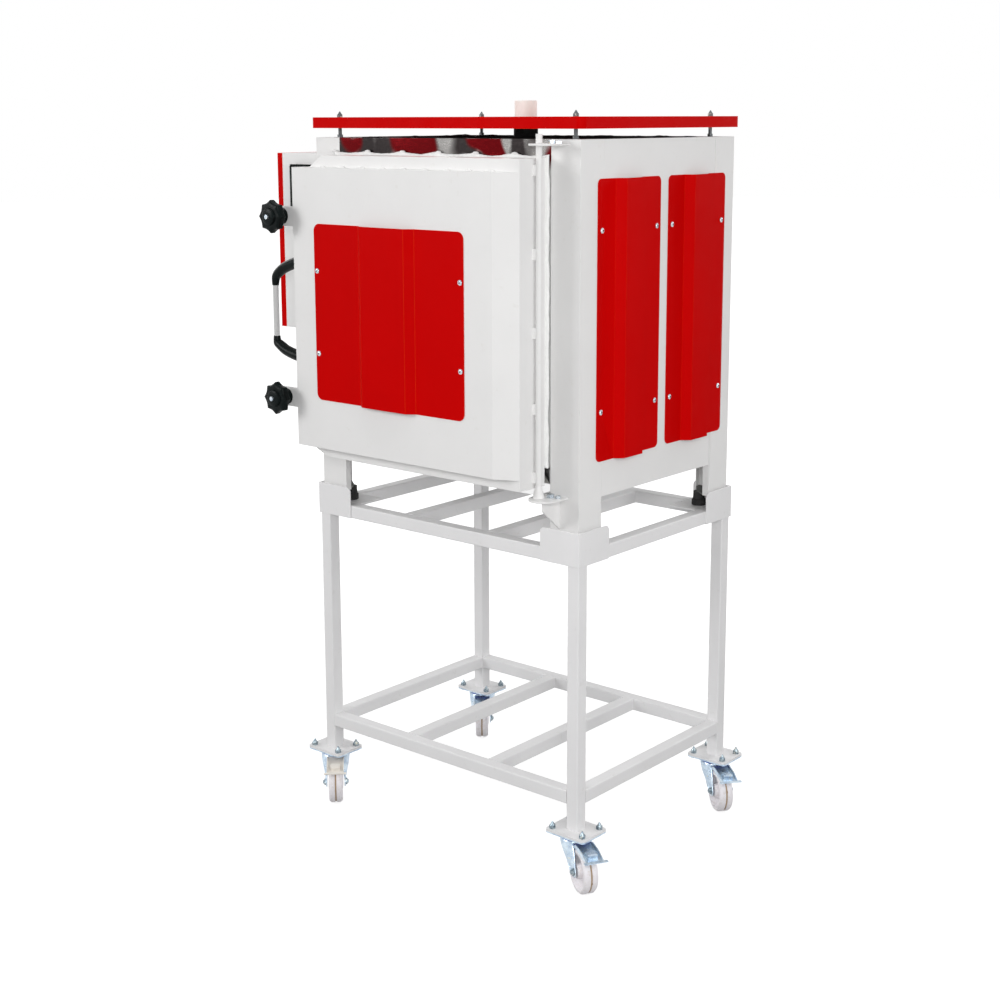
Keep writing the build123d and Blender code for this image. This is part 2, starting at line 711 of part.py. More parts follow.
def floor_lining():
    """Floor of firebrick."""
    slab = block(-LINING_X, LINING_X, LINING_FRONT, LINING_BACK, LINING_Z, CHAMBER_Z)
    return slab - return_slot() - flip_x(return_slot())


def roof_lining():
    """Roof of firebrick with the vent hole."""
    slab = block(-LINING_X, LINING_X, LINING_FRONT, LINING_BACK, CHAMBER_TOP, TOP_Z)
    slab = slab - return_slot() - flip_x(return_slot())
    return slab - rod_z(0, VENT_Y, CHAMBER_TOP - 1, TOP_Z + 1, VENT_OUTER + VENT_FIT)


def element_heights():
    """Heights of the element rows."""
    first = CHAMBER_Z + ELEMENT_MARGIN
    return [first + row * ELEMENT_PITCH for row in range(ELEMENT_ROWS)]


def side_lining():
    """Right wall of firebrick, grooved for the element rows."""
    wall = block(CHAMBER_X, LINING_X, LINING_FRONT, LINING_BACK, CHAMBER_Z, CHAMBER_TOP)
    y0 = LINING_FRONT + ELEMENT_END
    half = ELEMENT_GROOVE / 2
    for z in element_heights():
        wall -= block(CHAMBER_X - 1, CHAMBER_X + half, y0, CHAMBER_BACK, z - half, z + half)
        wall -= rod_y(CHAMBER_X + half, y0, CHAMBER_BACK, z, half)
    return wall - return_slot()


def left_lining():
    """Left wall of firebrick with the hole for the thermocouple."""
    hole = rod_x(-LINING_X - 1, 1 - CHAMBER_X, PROBE_Y, probe_z(), PROBE_RADIUS + VENT_FIT)
    return flip_x(side_lining()) - hole


def back_lining():
    """Back wall of firebrick between the side walls."""
    return block(-CHAMBER_X, CHAMBER_X, CHAMBER_BACK, LINING_BACK, CHAMBER_Z, CHAMBER_TOP)


def element_rows():
    """Heating rods lying in the grooves of the right wall."""
    y0 = LINING_FRONT + ELEMENT_END + 4
    y1 = CHAMBER_BACK - 4
    drop = ELEMENT_GROOVE / 2 - ELEMENT_RADIUS - ELEMENT_SEAT
    x = CHAMBER_X + ELEMENT_GROOVE / 2
    return [rod_y(x, y0, y1, z - drop, ELEMENT_RADIUS) for z in element_heights()]


def probe_z():
    """Height of the thermocouple: between the two highest element rows."""
    rows = element_heights()
    return (rows[-2] + rows[-1]) / 2


def thermocouple():
    """Ceramic sheath through the left wall with its round head behind the shell."""
    z = probe_z()
    sheath = rod_x(SHEET - BODY_X, PROBE_REACH - CHAMBER_X, PROBE_Y, z, PROBE_RADIUS)
    head = rod_x(SHEET + 2 - BODY_X, -LINING_X, PROBE_Y, z, PROBE_HEAD)
    return sheath + head


def vent_tube():
    """Ceramic vent tube from the chamber roof to above the roof plate."""
    tube = rod_z(0, VENT_Y, CHAMBER_TOP, BODY_TOP + VENT_TOP, VENT_OUTER)
    return tube - rod_z(0, VENT_Y, CHAMBER_TOP - 1, BODY_TOP + VENT_TOP + 1, VENT_INNER)


def vent_collar():
    """Black collar round the vent tube between the top and the roof plate."""
    inner = VENT_OUTER + VENT_FIT
    ring = rod_z(0, VENT_Y, TOP_Z + SHEET, ROOF_TOP - SHEET, inner + 2)
    return ring - rod_z(0, VENT_Y, TOP_Z, ROOF_TOP, inner)


def roof_plate():
    """Red roof tray, open below."""
    outer = Pos(0, 0, ROOF_Z) * extrude(RectangleRounded(ROOF_WIDTH, ROOF_DEPTH, ROOF_CORNER), ROOF_LIP)
    inside = RectangleRounded(ROOF_WIDTH - 2 * SHEET, ROOF_DEPTH - 2 * SHEET, ROOF_CORNER - SHEET)
    tray = outer - Pos(0, 0, ROOF_Z - SHEET) * extrude(inside, ROOF_LIP)
    tray -= rod_z(0, VENT_Y, ROOF_Z, ROOF_TOP + 1, VENT_OUTER + VENT_FIT)
    hole = rod_z(STANDOFF_X, -STANDOFF_Y, ROOF_Z, ROOF_TOP + 1, STANDOFF_RADIUS + VENT_FIT)
    for cut in corners(hole):
        tray -= cut
    return tray


def standoff():
    """Threaded rod that carries one corner of the roof plate, with its nuts."""
    x, y = STANDOFF_X, -STANDOFF_Y
    bar = rod_z(x, y, BODY_TOP, ROOF_TOP, STANDOFF_RADIUS)
    foot_nut = Pos(x, y, BODY_TOP) * hex_bar(STANDOFF_NUT, 6)
    under = Pos(x, y, ROOF_TOP - SHEET - 5) * hex_bar(STANDOFF_NUT, 5)
    cap = Pos(x, y, ROOF_TOP) * cap_nut(STANDOFF_NUT, 6, 7)
    return bar + foot_nut + under + cap


def post_cap():
    """Small plate on the front right post that takes the standoff."""
    x = BODY_X - POST_FRONT + SHEET
    y = BODY_Y - POST_SIDE + SHEET
    return block(x, BODY_X - SHEET, SHEET - BODY_Y, -y, BODY_TOP - 3, BODY_TOP)


def ridge_profile(width, base, ridge, rise, shift):
    """Outer skin of a sheet with a raised middle, along its width and height."""
    middle = width / 2 + shift
    points = [(0, COVER_SHEET), (middle - base / 2, COVER_SHEET)]
    points += [(middle - ridge / 2, rise + COVER_SHEET), (middle + ridge / 2, rise + COVER_SHEET)]
    return points + [(middle + base / 2, COVER_SHEET), (width, COVER_SHEET)]


def cover(first_y):
    """Red folded cover on the right wall: a flat sheet with a raised, open ended middle."""
    skin = ridge_profile(COVER_WIDTH, COVER_BASE, COVER_RIDGE, COVER_RISE, -COVER_BASE_SHIFT)
    plan = [(BODY_X + out, first_y + along) for along, out in skin]
    low = SHELL_Z + COVER_BOTTOM
    sheet = upright(folded(plan, COVER_SHEET), low, low + COVER_HEIGHT)
    outline = Pos(first_y + COVER_WIDTH / 2, low + COVER_HEIGHT / 2)
    outline *= RectangleRounded(COVER_WIDTH, COVER_HEIGHT, COVER_CORNER)
    sheet = sheet & side_sketch(outline, BODY_X - 1, BODY_X + COVER_RISE + 5)
    for y, z in cover_screw_places():
        sheet -= rod_x(BODY_X - 1, BODY_X + 5, y, z, SCREW_SHANK + 0.2)
    return sheet


def cover_firsts():
    """Front edge of each red side cover."""
    return [COVER_FIRST_Y, COVER_FIRST_Y + COVER_SPACING]


def cover_screw_places():
    """Screws at the four corners of both side covers."""
    low = SHELL_Z + COVER_BOTTOM + SCREW_LOW
    ends = [(first + SCREW_EDGE, first + COVER_WIDTH - SCREW_EDGE) for first in cover_firsts()]
    return [(y, z) for pair in ends for y in pair for z in (low, low + SCREW_SPACING)]


def cover_screws():
    """Pan head screws of the side covers."""
    start = BODY_X - SHEET
    face = BODY_X + COVER_SHEET
    screws = []
    for y, z in cover_screw_places():
        shank = rod_x(start, face, y, z, SCREW_SHANK)
        head = Pos(face, y, z) * Rot(0, 90, 0) * screw_head()
        screws.append(shank + head)
    return screws


def screw_head():
    """Low domed screw head standing on the XY plane."""
    disc = Pos(0, 0, SCREW_HEAD / 4) * Cylinder(SCREW_RADIUS, SCREW_HEAD / 2)
    dome = Pos(0, 0, SCREW_HEAD * 0.75) * Cone(SCREW_RADIUS, SCREW_RADIUS * 0.6, SCREW_HEAD / 2)
    return disc + dome


def control_housing():
    """White sheet box on the left wall, open towards its lid."""
    x0 = -BODY_X - BOX_WIDTH
    y0 = -BODY_Y
    outer = block(x0, -BODY_X, y0, y0 + BOX_DEPTH, BOX_Z, BOX_Z + BOX_HEIGHT)
    t = BOX_SHEET
    inside = block(x0 - 1, -BODY_X - t, y0 + t, y0 + BOX_DEPTH - t, BOX_Z + t, BOX_Z + BOX_HEIGHT - t)
    hole = rod_x(-BODY_X - 2 * t, -BODY_X + 1, PROBE_Y, probe_z(), PROBE_RADIUS + VENT_FIT)
    return outer - inside - hole


def control_lid():
    """Red tray that closes the control box."""
    x1 = -BODY_X - BOX_WIDTH
    y0 = -BODY_Y
    outer = block(x1 - LID_DEPTH, x1, y0, y0 + BOX_DEPTH, BOX_Z, BOX_Z + BOX_HEIGHT)
    t = BOX_SHEET
    inside = block(x1 - LID_DEPTH + t, x1 + 1, y0 + t, y0 + BOX_DEPTH - t, BOX_Z + t, BOX_Z + BOX_HEIGHT - t)
    return outer - inside


def door_switch():
    """Black safety switch on the front of the control box, with a ribbed top."""
    z1 = BOX_Z + BOX_HEIGHT - SWITCH_TOP_GAP
    z0 = z1 - SWITCH_HEIGHT
    body = block(SWITCH_X0, SWITCH_X1, -BODY_Y - SWITCH_DEPTH, -BODY_Y, z0, z1)
    pitch = (SWITCH_X1 - SWITCH_X0) / SWITCH_RIBS
    for rib in range(SWITCH_RIBS):
        x = SWITCH_X0 + pitch * rib
        body += block(x, x + pitch / 2, -BODY_Y - SWITCH_DEPTH, -BODY_Y, z1, z1 + 4)
    return body


def frame_outline(inset):
    """Door frame seen from the front: a rectangle with two cut corners on the left."""
    low = DOOR_Z
    high = DOOR_Z + DOOR_FRAME_HEIGHT
    left = DOOR_LEFT + SHEET
    points = [(left, low + DOOR_CUT_LOW), (left + DOOR_CUT_X, low), (DOOR_RIGHT, low)]
    points += [(DOOR_RIGHT, high), (left + DOOR_CUT_X, high), (left, high - DOOR_CUT_TOP)]
    face = make_face(Polyline(*points, close=True))
    return offset(face, -inset, kind=Kind.INTERSECTION) if inset else face


def door_frame():
    """Folded tray of the door, open towards the kiln."""
    tray = front_sketch(frame_outline(0), DOOR_FRONT, DOOR_BACK)
    return tray - front_sketch(frame_outline(SHEET), DOOR_FRONT + SHEET, DOOR_BACK + 1)


def door_plug():
    """Insulation of the door: fills the tray and steps into the chamber mouth."""
    slab = front_sketch(frame_outline(SHEET), DOOR_FRONT + SHEET, DOOR_BACK)
    width = CHAMBER_WIDTH - 2 * PLUG_CLEARANCE
    height = CHAMBER_HEIGHT - 2 * PLUG_CLEARANCE
    depth = PLUG_REACH + DOOR_REAR_GAP
    base = Pos(0, CHAMBER_Z + CHAMBER_HEIGHT / 2) * Rectangle(width, height)
    top = Rectangle(width - 2 * PLUG_TAPER, height - 2 * PLUG_TAPER)
    top = Pos(0, CHAMBER_Z + CHAMBER_HEIGHT / 2, -depth) * top
    step = loft([base, top])
    return slab + Pos(0, DOOR_BACK, 0) * Rot(90, 0, 0) * step


def door_seal():
    """Fibre blanket between the door tray and the front plate, round the plug."""
    z0 = SHELL_Z + SEAL_BOTTOM
    y0 = DOOR_BACK
    y1 = -BODY_Y - SEAL_CLEARANCE
    sheet = block(SEAL_LEFT, SEAL_RIGHT, y0, y1, z0, z0 + SEAL_HEIGHT)
    x = CHAMBER_X - PLUG_CLEARANCE
    low = CHAMBER_Z + PLUG_CLEARANCE
    return sheet - block(-x, x, y0 - 1, y1 + 1, low, CHAMBER_TOP - PLUG_CLEARANCE)


def door_skin():
    """Front cover of the door: a sheet with a bevelled right side and a deep left side."""
    side = SKIN_FACE + SKIN_SIDE
    bevel = DOOR_RIGHT - SKIN_BEVEL
    skin = [(DOOR_LEFT, side), (DOOR_LEFT, SKIN_FACE), (bevel, SKIN_FACE), (DOOR_RIGHT, DOOR_FRONT)]
    top = SKIN_Z + SKIN_HEIGHT
    sheet = upright(folded(skin, SHEET), SKIN_Z, top)
    sheet -= block(DOOR_LEFT + SHEET, DOOR_RIGHT + 9, DOOR_FRONT, DOOR_FRONT + 9, SKIN_Z - 1, top + 1)
    plan = [(DOOR_LEFT, DOOR_FRONT), (DOOR_LEFT, SKIN_FACE), (bevel, SKIN_FACE), (DOOR_RIGHT, DOOR_FRONT)]
    lid = upright(plan, 0, SHEET)
    sheet = sheet + Pos(0, 0, SKIN_Z) * lid + Pos(0, 0, top - SHEET) * lid
    for x, z in panel_screw_places():
        sheet -= rod_y(x, SKIN_FACE - 1, SKIN_FACE + 2 * SHEET, z, SCREW_SHANK + 0.2)
    return sheet


def door_panel():
    """Red folded panel on the door: a flat sheet with a raised, open ended middle."""
    skin = ridge_profile(PANEL_WIDTH, PANEL_BASE, PANEL_RIDGE, PANEL_RISE, 0)
    plan = [(PANEL_LEFT + along, SKIN_FACE - out) for along, out in skin]
    sheet = upright(folded(plan, COVER_SHEET), PANEL_Z, PANEL_Z + PANEL_HEIGHT)
    outline = Pos(PANEL_LEFT + PANEL_WIDTH / 2, PANEL_Z + PANEL_HEIGHT / 2)
    outline *= RectangleRounded(PANEL_WIDTH, PANEL_HEIGHT, PANEL_CORNER)
    sheet = sheet & front_sketch(outline, SKIN_FACE - PANEL_RISE - 5, SKIN_FACE + 1)
    for x, z in panel_screw_places():
        sheet -= rod_y(x, SKIN_FACE - 5, SKIN_FACE + 1, z, SCREW_SHANK + 0.2)
    return sheet


def panel_screw_places():
    """Screws of the door panel."""
    low = PANEL_Z + PANEL_SCREW_LOW
    xs = (PANEL_LEFT + PANEL_SCREW_EDGE, PANEL_LEFT + PANEL_WIDTH - PANEL_SCREW_EDGE)
    return [(x, z) for x in xs for z in (low, low + PANEL_SCREW_SPACING)]


def panel_screws():
    """Pan head screws of the door panel."""
    face = SKIN_FACE - COVER_SHEET
    screws = []
    for x, z in panel_screw_places():
        shank = rod_y(x, face, SKIN_FACE + SHEET, z, SCREW_SHANK)
        head = Pos(x, face, z) * Rot(90, 0, 0) * screw_head()
        screws.append(shank + head)
    return screws


def hinge_rod():
    """Hinge rod with the conical collar that stands on the lower bracket."""
    z0 = SHELL_Z + BRACKET_LOW
    z1 = SHELL_Z + BRACKET_HIGH + BRACKET_SHEET
    bar = rod_z(HINGE_X, HINGE_Y, z0 - ROD_BELOW, z1 + ROD_ABOVE, ROD_RADIUS)
    base = z0 + BRACKET_SHEET + 0.3
    cone = Cone(COLLAR_RADIUS, ROD_RADIUS, COLLAR_HEIGHT)
    return bar + Pos(HINGE_X, HINGE_Y, base + COLLAR_HEIGHT / 2) * cone


def hinge_lugs():
    """Lugs that join the rod to the door's right side."""
    lugs = []
    for share in LUG_SHARES:
        z = DOOR_Z + share * DOOR_FRAME_HEIGHT
        plan = [(DOOR_RIGHT, HINGE_Y - LUG_HALF - 3), (HINGE_X, HINGE_Y - LUG_HALF)]
        plan += [(HINGE_X, HINGE_Y + LUG_HALF), (DOOR_RIGHT, HINGE_Y + LUG_HALF + 3)]
        lug = upright(plan, z - LUG_TALL / 2, z + LUG_TALL / 2)
        lugs.append(lug - rod_z(HINGE_X, HINGE_Y, z - LUG_TALL, z + LUG_TALL, ROD_RADIUS + 0.02))
    return lugs


def bracket_plate(z):
    """Plan of a hinge bracket: square at the wall, round at its nose, bored for the rod."""
    radius = (BRACKET_RIGHT - BRACKET_LEFT) / 2
    middle = (BRACKET_LEFT + BRACKET_RIGHT) / 2
    nose_y = radius - BODY_Y - BRACKET_REACH
    plate = block(BRACKET_LEFT, BRACKET_RIGHT, nose_y, -BODY_Y, z, z + BRACKET_SHEET)
    plate += rod_z(middle, nose_y, z, z + BRACKET_SHEET, radius)
    return plate - rod_z(HINGE_X, HINGE_Y, z - 1, z + BRACKET_SHEET + 1, ROD_RADIUS + RUNNING_FIT)


def lower_bracket():
    """Lower hinge bracket with the gusset under it."""
    z = SHELL_Z + BRACKET_LOW
    wall = -BODY_Y
    tip = wall - GUSSET_OUT
    points = [(wall, z), (wall, z - GUSSET_TALL), (tip, z - GUSSET_EDGE), (tip, z)]
    face = make_face(Polyline(*points, close=True))
    half = BRACKET_SHEET / 2
    middle = HINGE_X + GUSSET_STEP
    return bracket_plate(z) + side_sketch(face, middle - half, middle + half)


def bracket_nuts():
    """Nuts on both hinge brackets."""
    nuts = []
    nut = hex_bar(BRACKET_NUT_RADIUS, BRACKET_NUT_HEIGHT)
    nut = Pos(HINGE_X + BRACKET_NUT_STEP, -BODY_Y - BRACKET_NUT_REACH, 0) * nut
    bolt = hex_bar(BRACKET_BOLT_RADIUS, BRACKET_BOLT_HEIGHT)
    bolt = Pos(HINGE_X + BRACKET_BOLT_STEP, -BODY_Y - BRACKET_BOLT_REACH, 0) * bolt
    for height in (BRACKET_LOW, BRACKET_HIGH):
        lift = Pos(0, 0, SHELL_Z + height + BRACKET_SHEET)
        nuts += [lift * nut, lift * bolt]
    return nuts


def latch_zs():
    """Heights of the two latches."""
    return [SHELL_Z + LATCH_LOW, SHELL_Z + LATCH_HIGH]


def latch_ear(z):
    """Folded ear on the door's left side with two holes for the stud."""
    half = EAR_HEIGHT / 2
    skin = [(EAR_LEFT, EAR_REAR), (DOOR_LEFT, EAR_REAR), (DOOR_LEFT, EAR_FRONT), (EAR_LEFT, EAR_FRONT)]
    ear = upright(folded(skin[::-1], EAR_SHEET), z - half, z + half)
    return ear - rod_y(LATCH_X, EAR_FRONT - 1, EAR_REAR + 1, z, STUD_RADIUS + STUD_CLEARANCE)


def latch_catch(z):
    """Socket on the kiln's front that takes the end of the latch stud."""
    face = -BODY_Y
    half = CATCH_BASE / 2
    base = block(LATCH_X - half, LATCH_X + half, face - CATCH_PLATE, face, z - half, z + half)
    boss = rod_y(LATCH_X, face - CATCH_DEPTH, face, z, CATCH_RADIUS)
    return base + boss - rod_y(LATCH_X, face - CATCH_DEPTH - 1, face - 2, z, STUD_RADIUS + CATCH_CLEARANCE)


def knob_outline():
    """Star outline: a disc with round scallops, its lobes rounded off."""
    star = Circle(KNOB_RADIUS)
    for place in PolarLocations(KNOB_WAIST + KNOB_SCALLOP, KNOB_LOBES):
        star -= place * Circle(KNOB_SCALLOP)
    return fillet(star.vertices(), KNOB_ROUND)


def knob(z):
    """Star knob of a latch: lobed rim and a round hub on the door's side."""
    hub_rear = EAR_FRONT - 0.3
    rim_rear = hub_rear - KNOB_HUB_BACK
    rim_front = rim_rear - KNOB_RIM
    hub = rod_y(LATCH_X, rim_rear, hub_rear, z, KNOB_HUB)
    star = Pos(LATCH_X, rim_rear, z) * Rot(90, 0, 0) * extrude(knob_outline(), KNOB_RIM)
    cap = rod_y(LATCH_X, rim_front - KNOB_HUB_FRONT, rim_front, z, KNOB_HUB)
    bore = rod_y(LATCH_X, rim_front - 20, hub_rear + 1, z, STUD_RADIUS)
    return hub + star + cap - bore


def knob_stud(z):
    """Threaded stud through the knob, its ear and into the socket."""
    front = EAR_FRONT - 0.3 - KNOB_HUB_BACK - KNOB_RIM - KNOB_HUB_FRONT - STUD_SHOW
    rear = -BODY_Y - CATCH_DEPTH + CATCH_ENGAGE
    return rod_y(LATCH_X, front, rear, z, STUD_RADIUS)


def grip_tube():
    """Straight grip of the door handle."""
    z = SHELL_Z + GRIP_MIDDLE
    return rod_z(GRIP_X, GRIP_Y, z - GRIP_LENGTH / 2, z + GRIP_LENGTH / 2, GRIP_RADIUS)


def handle_elbows():
    """Black elbows that carry the grip off the door's left side."""
    z = SHELL_Z + GRIP_MIDDLE
    end = z + GRIP_LENGTH / 2
    base = z + GRIP_BASE_SPACING / 2
    reach = DOOR_LEFT - ELBOW_BASE_LENGTH
    points = [(GRIP_X, GRIP_Y, end), (GRIP_X, GRIP_Y, end + ELBOW_RISE)]
    points += [(reach - ELBOW_BEND / 2, GRIP_Y, base), (DOOR_LEFT, GRIP_Y, base)]
    bend = FilletPolyline(*points, radius=ELBOW_BEND)
    arm = sweep(Plane(origin=bend @ 0, z_dir=bend % 0) * Circle(ELBOW_RADIUS), path=bend)
    arm += rod_x(reach, DOOR_LEFT, GRIP_Y, base, ELBOW_BASE)
    low = mirror(arm, Plane.XY.offset(z))
    return [arm, low]


def model():
    """Every named piece of the kiln, before it is moved to its origin."""
    upper, lower = latch_zs()[1], latch_zs()[0]
    left_rows = [flip_x(row) for row in element_rows()]
    nodes = {
        "stand_legs": legs(),
        "upper_rails": frame_rails(UPPER_Z),
        "lower_rails": frame_rails(LOWER_Z),
        "corner_pockets": corners(pocket()) + corners(gusset()),
        "castor_plates": corners(weld_plate()),
        "castor_heads": corners(Pos(LEG_X, -LEG_Y, 0) * swivel_head()),
        "castor_bolts": [copy for bolt in castor_bolts() for copy in corners(bolt)],
        "rubber_feet": corners(foot()),
        "corner_posts": posts() + corners(post_cap()),
        "right_panel": [right_panel()],
        "left_panel": [left_panel()],
        "back_panel": [back_panel()],
        "bottom_panel": [flat_panel(SHELL_Z)],
        "top_panel": [top_panel()],
        "front_plate": [mirror_plate()],
        "floor_lining": [floor_lining()],
        "roof_lining": [roof_lining()],
        "side_linings": [side_lining(), left_lining()],
        "back_lining": [back_lining()],
        "elements": element_rows() + left_rows,
        "thermocouple": [thermocouple()],
        "vent_tube": [vent_tube()],
        "vent_collar": [vent_collar()],
        "roof_plate": [roof_plate()],
        "roof_standoffs": corners(standoff()),
        "side_covers": [cover(first) for first in cover_firsts()],
        "cover_screws": cover_screws(),
        "control_housing": [control_housing()],
        "control_lid": [control_lid()],
        "door_switch": [door_switch()],
        "hinge_brackets": [lower_bracket(), bracket_plate(SHELL_Z + BRACKET_HIGH)],
        "bracket_nuts": bracket_nuts(),
        "latch_catches": [latch_catch(z) for z in latch_zs()],
        "door_skin": [door_skin()],
        "door_frame": [door_frame()],
        "door_plug": [door_plug()],
        "door_seal": [door_seal()],
        "door_panel": [door_panel()],
        "panel_screws": panel_screws(),
        "hinge_rod": [hinge_rod()],
        "hinge_lugs": hinge_lugs(),
        "latch_ears": [latch_ear(z) for z in latch_zs()],
        "handle_grip": [grip_tube()],
        "handle_elbows": handle_elbows(),
        "knob_upper": [knob(upper)],
        "knob_lower": [knob(lower)],
        "stud_upper": [knob_stud(upper)],
        "stud_lower": [knob_stud(lower)],
    }
    turning = {"fork": [fork(), axle()], "wheel": [wheel()], "pedal": [pedal()]}
    for corner in CASTOR_ANGLES:
        place = castor_place(corner)
        for piece, solids in turning.items():
            nodes["castor_" + piece + "_" + corner] = [place * solid for solid in solids]
    return nodes


def to_origin(nodes):
    """Move from the stand's centre to the bottom centre of the whole box."""
    boxes = [solid.bounding_box() for solids in nodes.values() for solid in solids]
    x = (min(box.min.X for box in boxes) + max(box.max.X for box in boxes)) / 2
    y = (min(box.min.Y for box in boxes) + max(box.max.Y for box in boxes)) / 2
    z = min(box.min.Z for box in boxes)
    print("origin shift", round(-x, 3), round(-y, 3), round(-z, 3))
    return {name: [Pos(-x, -y, -z) * solid for solid in solids] for name, solids in nodes.items()}


os.makedirs("parts", exist_ok=True)
for name, solids in to_origin(model()).items():
    export_step(Compound(children=solids), os.path.join("parts", name + ".step"))
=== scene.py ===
import json
import math

import bmesh
import bpy
from mathutils import Matrix, Vector, noise


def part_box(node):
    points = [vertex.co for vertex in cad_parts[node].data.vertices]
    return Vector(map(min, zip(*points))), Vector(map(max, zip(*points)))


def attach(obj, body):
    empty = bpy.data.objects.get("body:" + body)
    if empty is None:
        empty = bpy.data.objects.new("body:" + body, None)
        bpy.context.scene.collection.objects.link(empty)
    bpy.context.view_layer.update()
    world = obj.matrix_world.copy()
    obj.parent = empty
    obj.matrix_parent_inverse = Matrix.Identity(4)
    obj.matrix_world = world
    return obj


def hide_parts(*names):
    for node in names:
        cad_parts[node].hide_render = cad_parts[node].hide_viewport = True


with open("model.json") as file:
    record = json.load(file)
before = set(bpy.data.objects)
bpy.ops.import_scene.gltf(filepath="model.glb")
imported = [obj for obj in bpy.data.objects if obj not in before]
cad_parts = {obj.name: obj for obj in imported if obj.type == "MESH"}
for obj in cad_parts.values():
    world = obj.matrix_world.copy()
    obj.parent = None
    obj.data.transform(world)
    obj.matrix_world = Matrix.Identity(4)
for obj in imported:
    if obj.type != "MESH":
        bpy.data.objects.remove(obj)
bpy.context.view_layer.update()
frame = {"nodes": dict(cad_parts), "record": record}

scene = bpy.context.scene

# The stand's centre line is where the kiln is measured from, in millimetres from the floor up.
stand_low, stand_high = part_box("stand_legs")
CENTRE_X = (stand_low[0] + stand_high[0]) / 2
CENTRE_Y = (stand_low[1] + stand_high[1]) / 2


def at(x, y, z):
    """A point in millimetres from the stand's centre line and the floor, in the frame's metres."""
    return Vector((x / 1000 + CENTRE_X, y / 1000 + CENTRE_Y, z / 1000))


# Finishes

def feed(links, socket, value):
    """Link a socket to another node's output, or set its value."""
    if isinstance(value, bpy.types.NodeSocket):
        links.new(value, socket)
    else:
        socket.default_value = value


class Finish:
    """A node material that is built up step by step."""

    def __init__(self, name, colour, rough, metal=0.0):
        self.material = bpy.data.materials.new(name)
        self.material.use_nodes = True
        self.nodes = self.material.node_tree.nodes
        self.links = self.material.node_tree.links
        self.shader = self.nodes["Principled BSDF"]
        self.shader.inputs["Base Color"].default_value = (*colour, 1)
        self.shader.inputs["Roughness"].default_value = rough
        self.shader.inputs["Metallic"].default_value = metal
        self.place = self.add("ShaderNodeTexCoord").outputs["Object"]

    def add(self, kind, **sockets):
        """A new node with some of its inputs set or linked."""
        node = self.nodes.new(kind)
        for name, value in sockets.items():
            feed(self.links, node.inputs[name.replace("_", " ")], value)
        return node

    def stretched(self, scale):
        """The object's own coordinates, scaled along each axis."""
        return self.add("ShaderNodeMapping", Vector=self.place, Scale=scale).outputs[0]

    def grain(self, scale, detail=3.0, rough=0.55, vector=None):
        """A noise value."""
        node = self.add("ShaderNodeTexNoise", Vector=vector or self.place, Scale=scale, Detail=detail,
                        Roughness=rough)
        return node.outputs["Fac"]

    def cells(self, scale, vector=None):
        """Distance to the middle of irregular cells."""
        return self.add("ShaderNodeTexVoronoi", Vector=vector or self.place, Scale=scale).outputs["Distance"]

    def spread(self, value, low, high, to_low=0.0, to_high=1.0):
        """A value stretched from one range to another and held at its ends."""
        node = self.nodes.new("ShaderNodeMapRange")
        self.links.new(value, node.inputs[0])
        for index, number in enumerate((low, high, to_low, to_high), start=1):
            node.inputs[index].default_value = number
        return node.outputs[0]

    def arithmetic(self, operation, first, second):
        """Two values joined by an arithmetic operation."""
        node = self.nodes.new("ShaderNodeMath")
        node.operation = operation
        for socket, value in zip(node.inputs, (first, second)):
            feed(self.links, socket, value)
        return node.outputs[0]

    def blend(self, share, first, second):
        """Two colours mixed by a share."""
        node = self.nodes.new("ShaderNodeMix")
        node.data_type = "RGBA"
        self.links.new(share, node.inputs[0])
        for socket, value in ((node.inputs[6], first), (node.inputs[7], second)):
            feed(self.links, socket, (*value, 1) if isinstance(value, tuple) else value)
        return node.outputs[2]

    def colour(self, value):
        self.links.new(value, self.shader.inputs["Base Color"])

    def roughness(self, value):
        self.links.new(value, self.shader.inputs["Roughness"])

    def relief(self, height, depth, strength=1.0):
        """Bump of a given depth in metres."""
        under = self.shader.inputs["Normal"].links
        before = under[0].from_socket if under else None
        node = self.add("ShaderNodeBump", Height=height, Distance=depth, Strength=strength)
        if before:
            self.links.new(before, node.inputs["Normal"])
        self.links.new(node.outputs[0], self.shader.inputs["Normal"])


def powder_coat(name, colour, dusty, rough=0.42, peel=0.00012, shine=0.3):
    """Powder coating: orange peel, faint clouds in its tone and a little dust."""
    finish = Finish(name, colour, rough)
    finish.shader.inputs["Specular IOR Level"].default_value = shine
    clouds = finish.spread(finish.grain(6, detail=4), 0.35, 0.7)
    dust = finish.spread(finish.grain(45, detail=5, rough=0.65), 0.62, 0.8)
    tone = finish.blend(clouds, colour, tuple(c * 0.965 for c in colour))
    finish.colour(finish.blend(dust, tone, dusty))
    finish.roughness(finish.spread(finish.grain(30, detail=3), 0.3, 0.7, rough - 0.05, rough + 0.08))
    finish.relief(finish.grain(420, detail=2), depth=peel, strength=0.35)
    return finish


def plated_zinc(name, pale, deep, rough=0.3, grain=70):
    """Passivated zinc: bluish and yellowish clouds on brushed metal."""
    finish = Finish(name, pale, rough, metal=0.85)
    tint = finish.spread(finish.grain(grain, 4), 0.35, 0.65)
    warm = finish.spread(finish.grain(120, detail=3), 0.6, 0.75)
    finish.colour(finish.blend(warm, finish.blend(tint, pale, deep), (0.62, 0.6, 0.5)))
    finish.roughness(finish.spread(finish.grain(260, detail=4), 0.3, 0.7, rough - 0.08, rough + 0.14))
    finish.relief(finish.grain(900, detail=2), depth=0.00008, strength=0.3)
    return finish


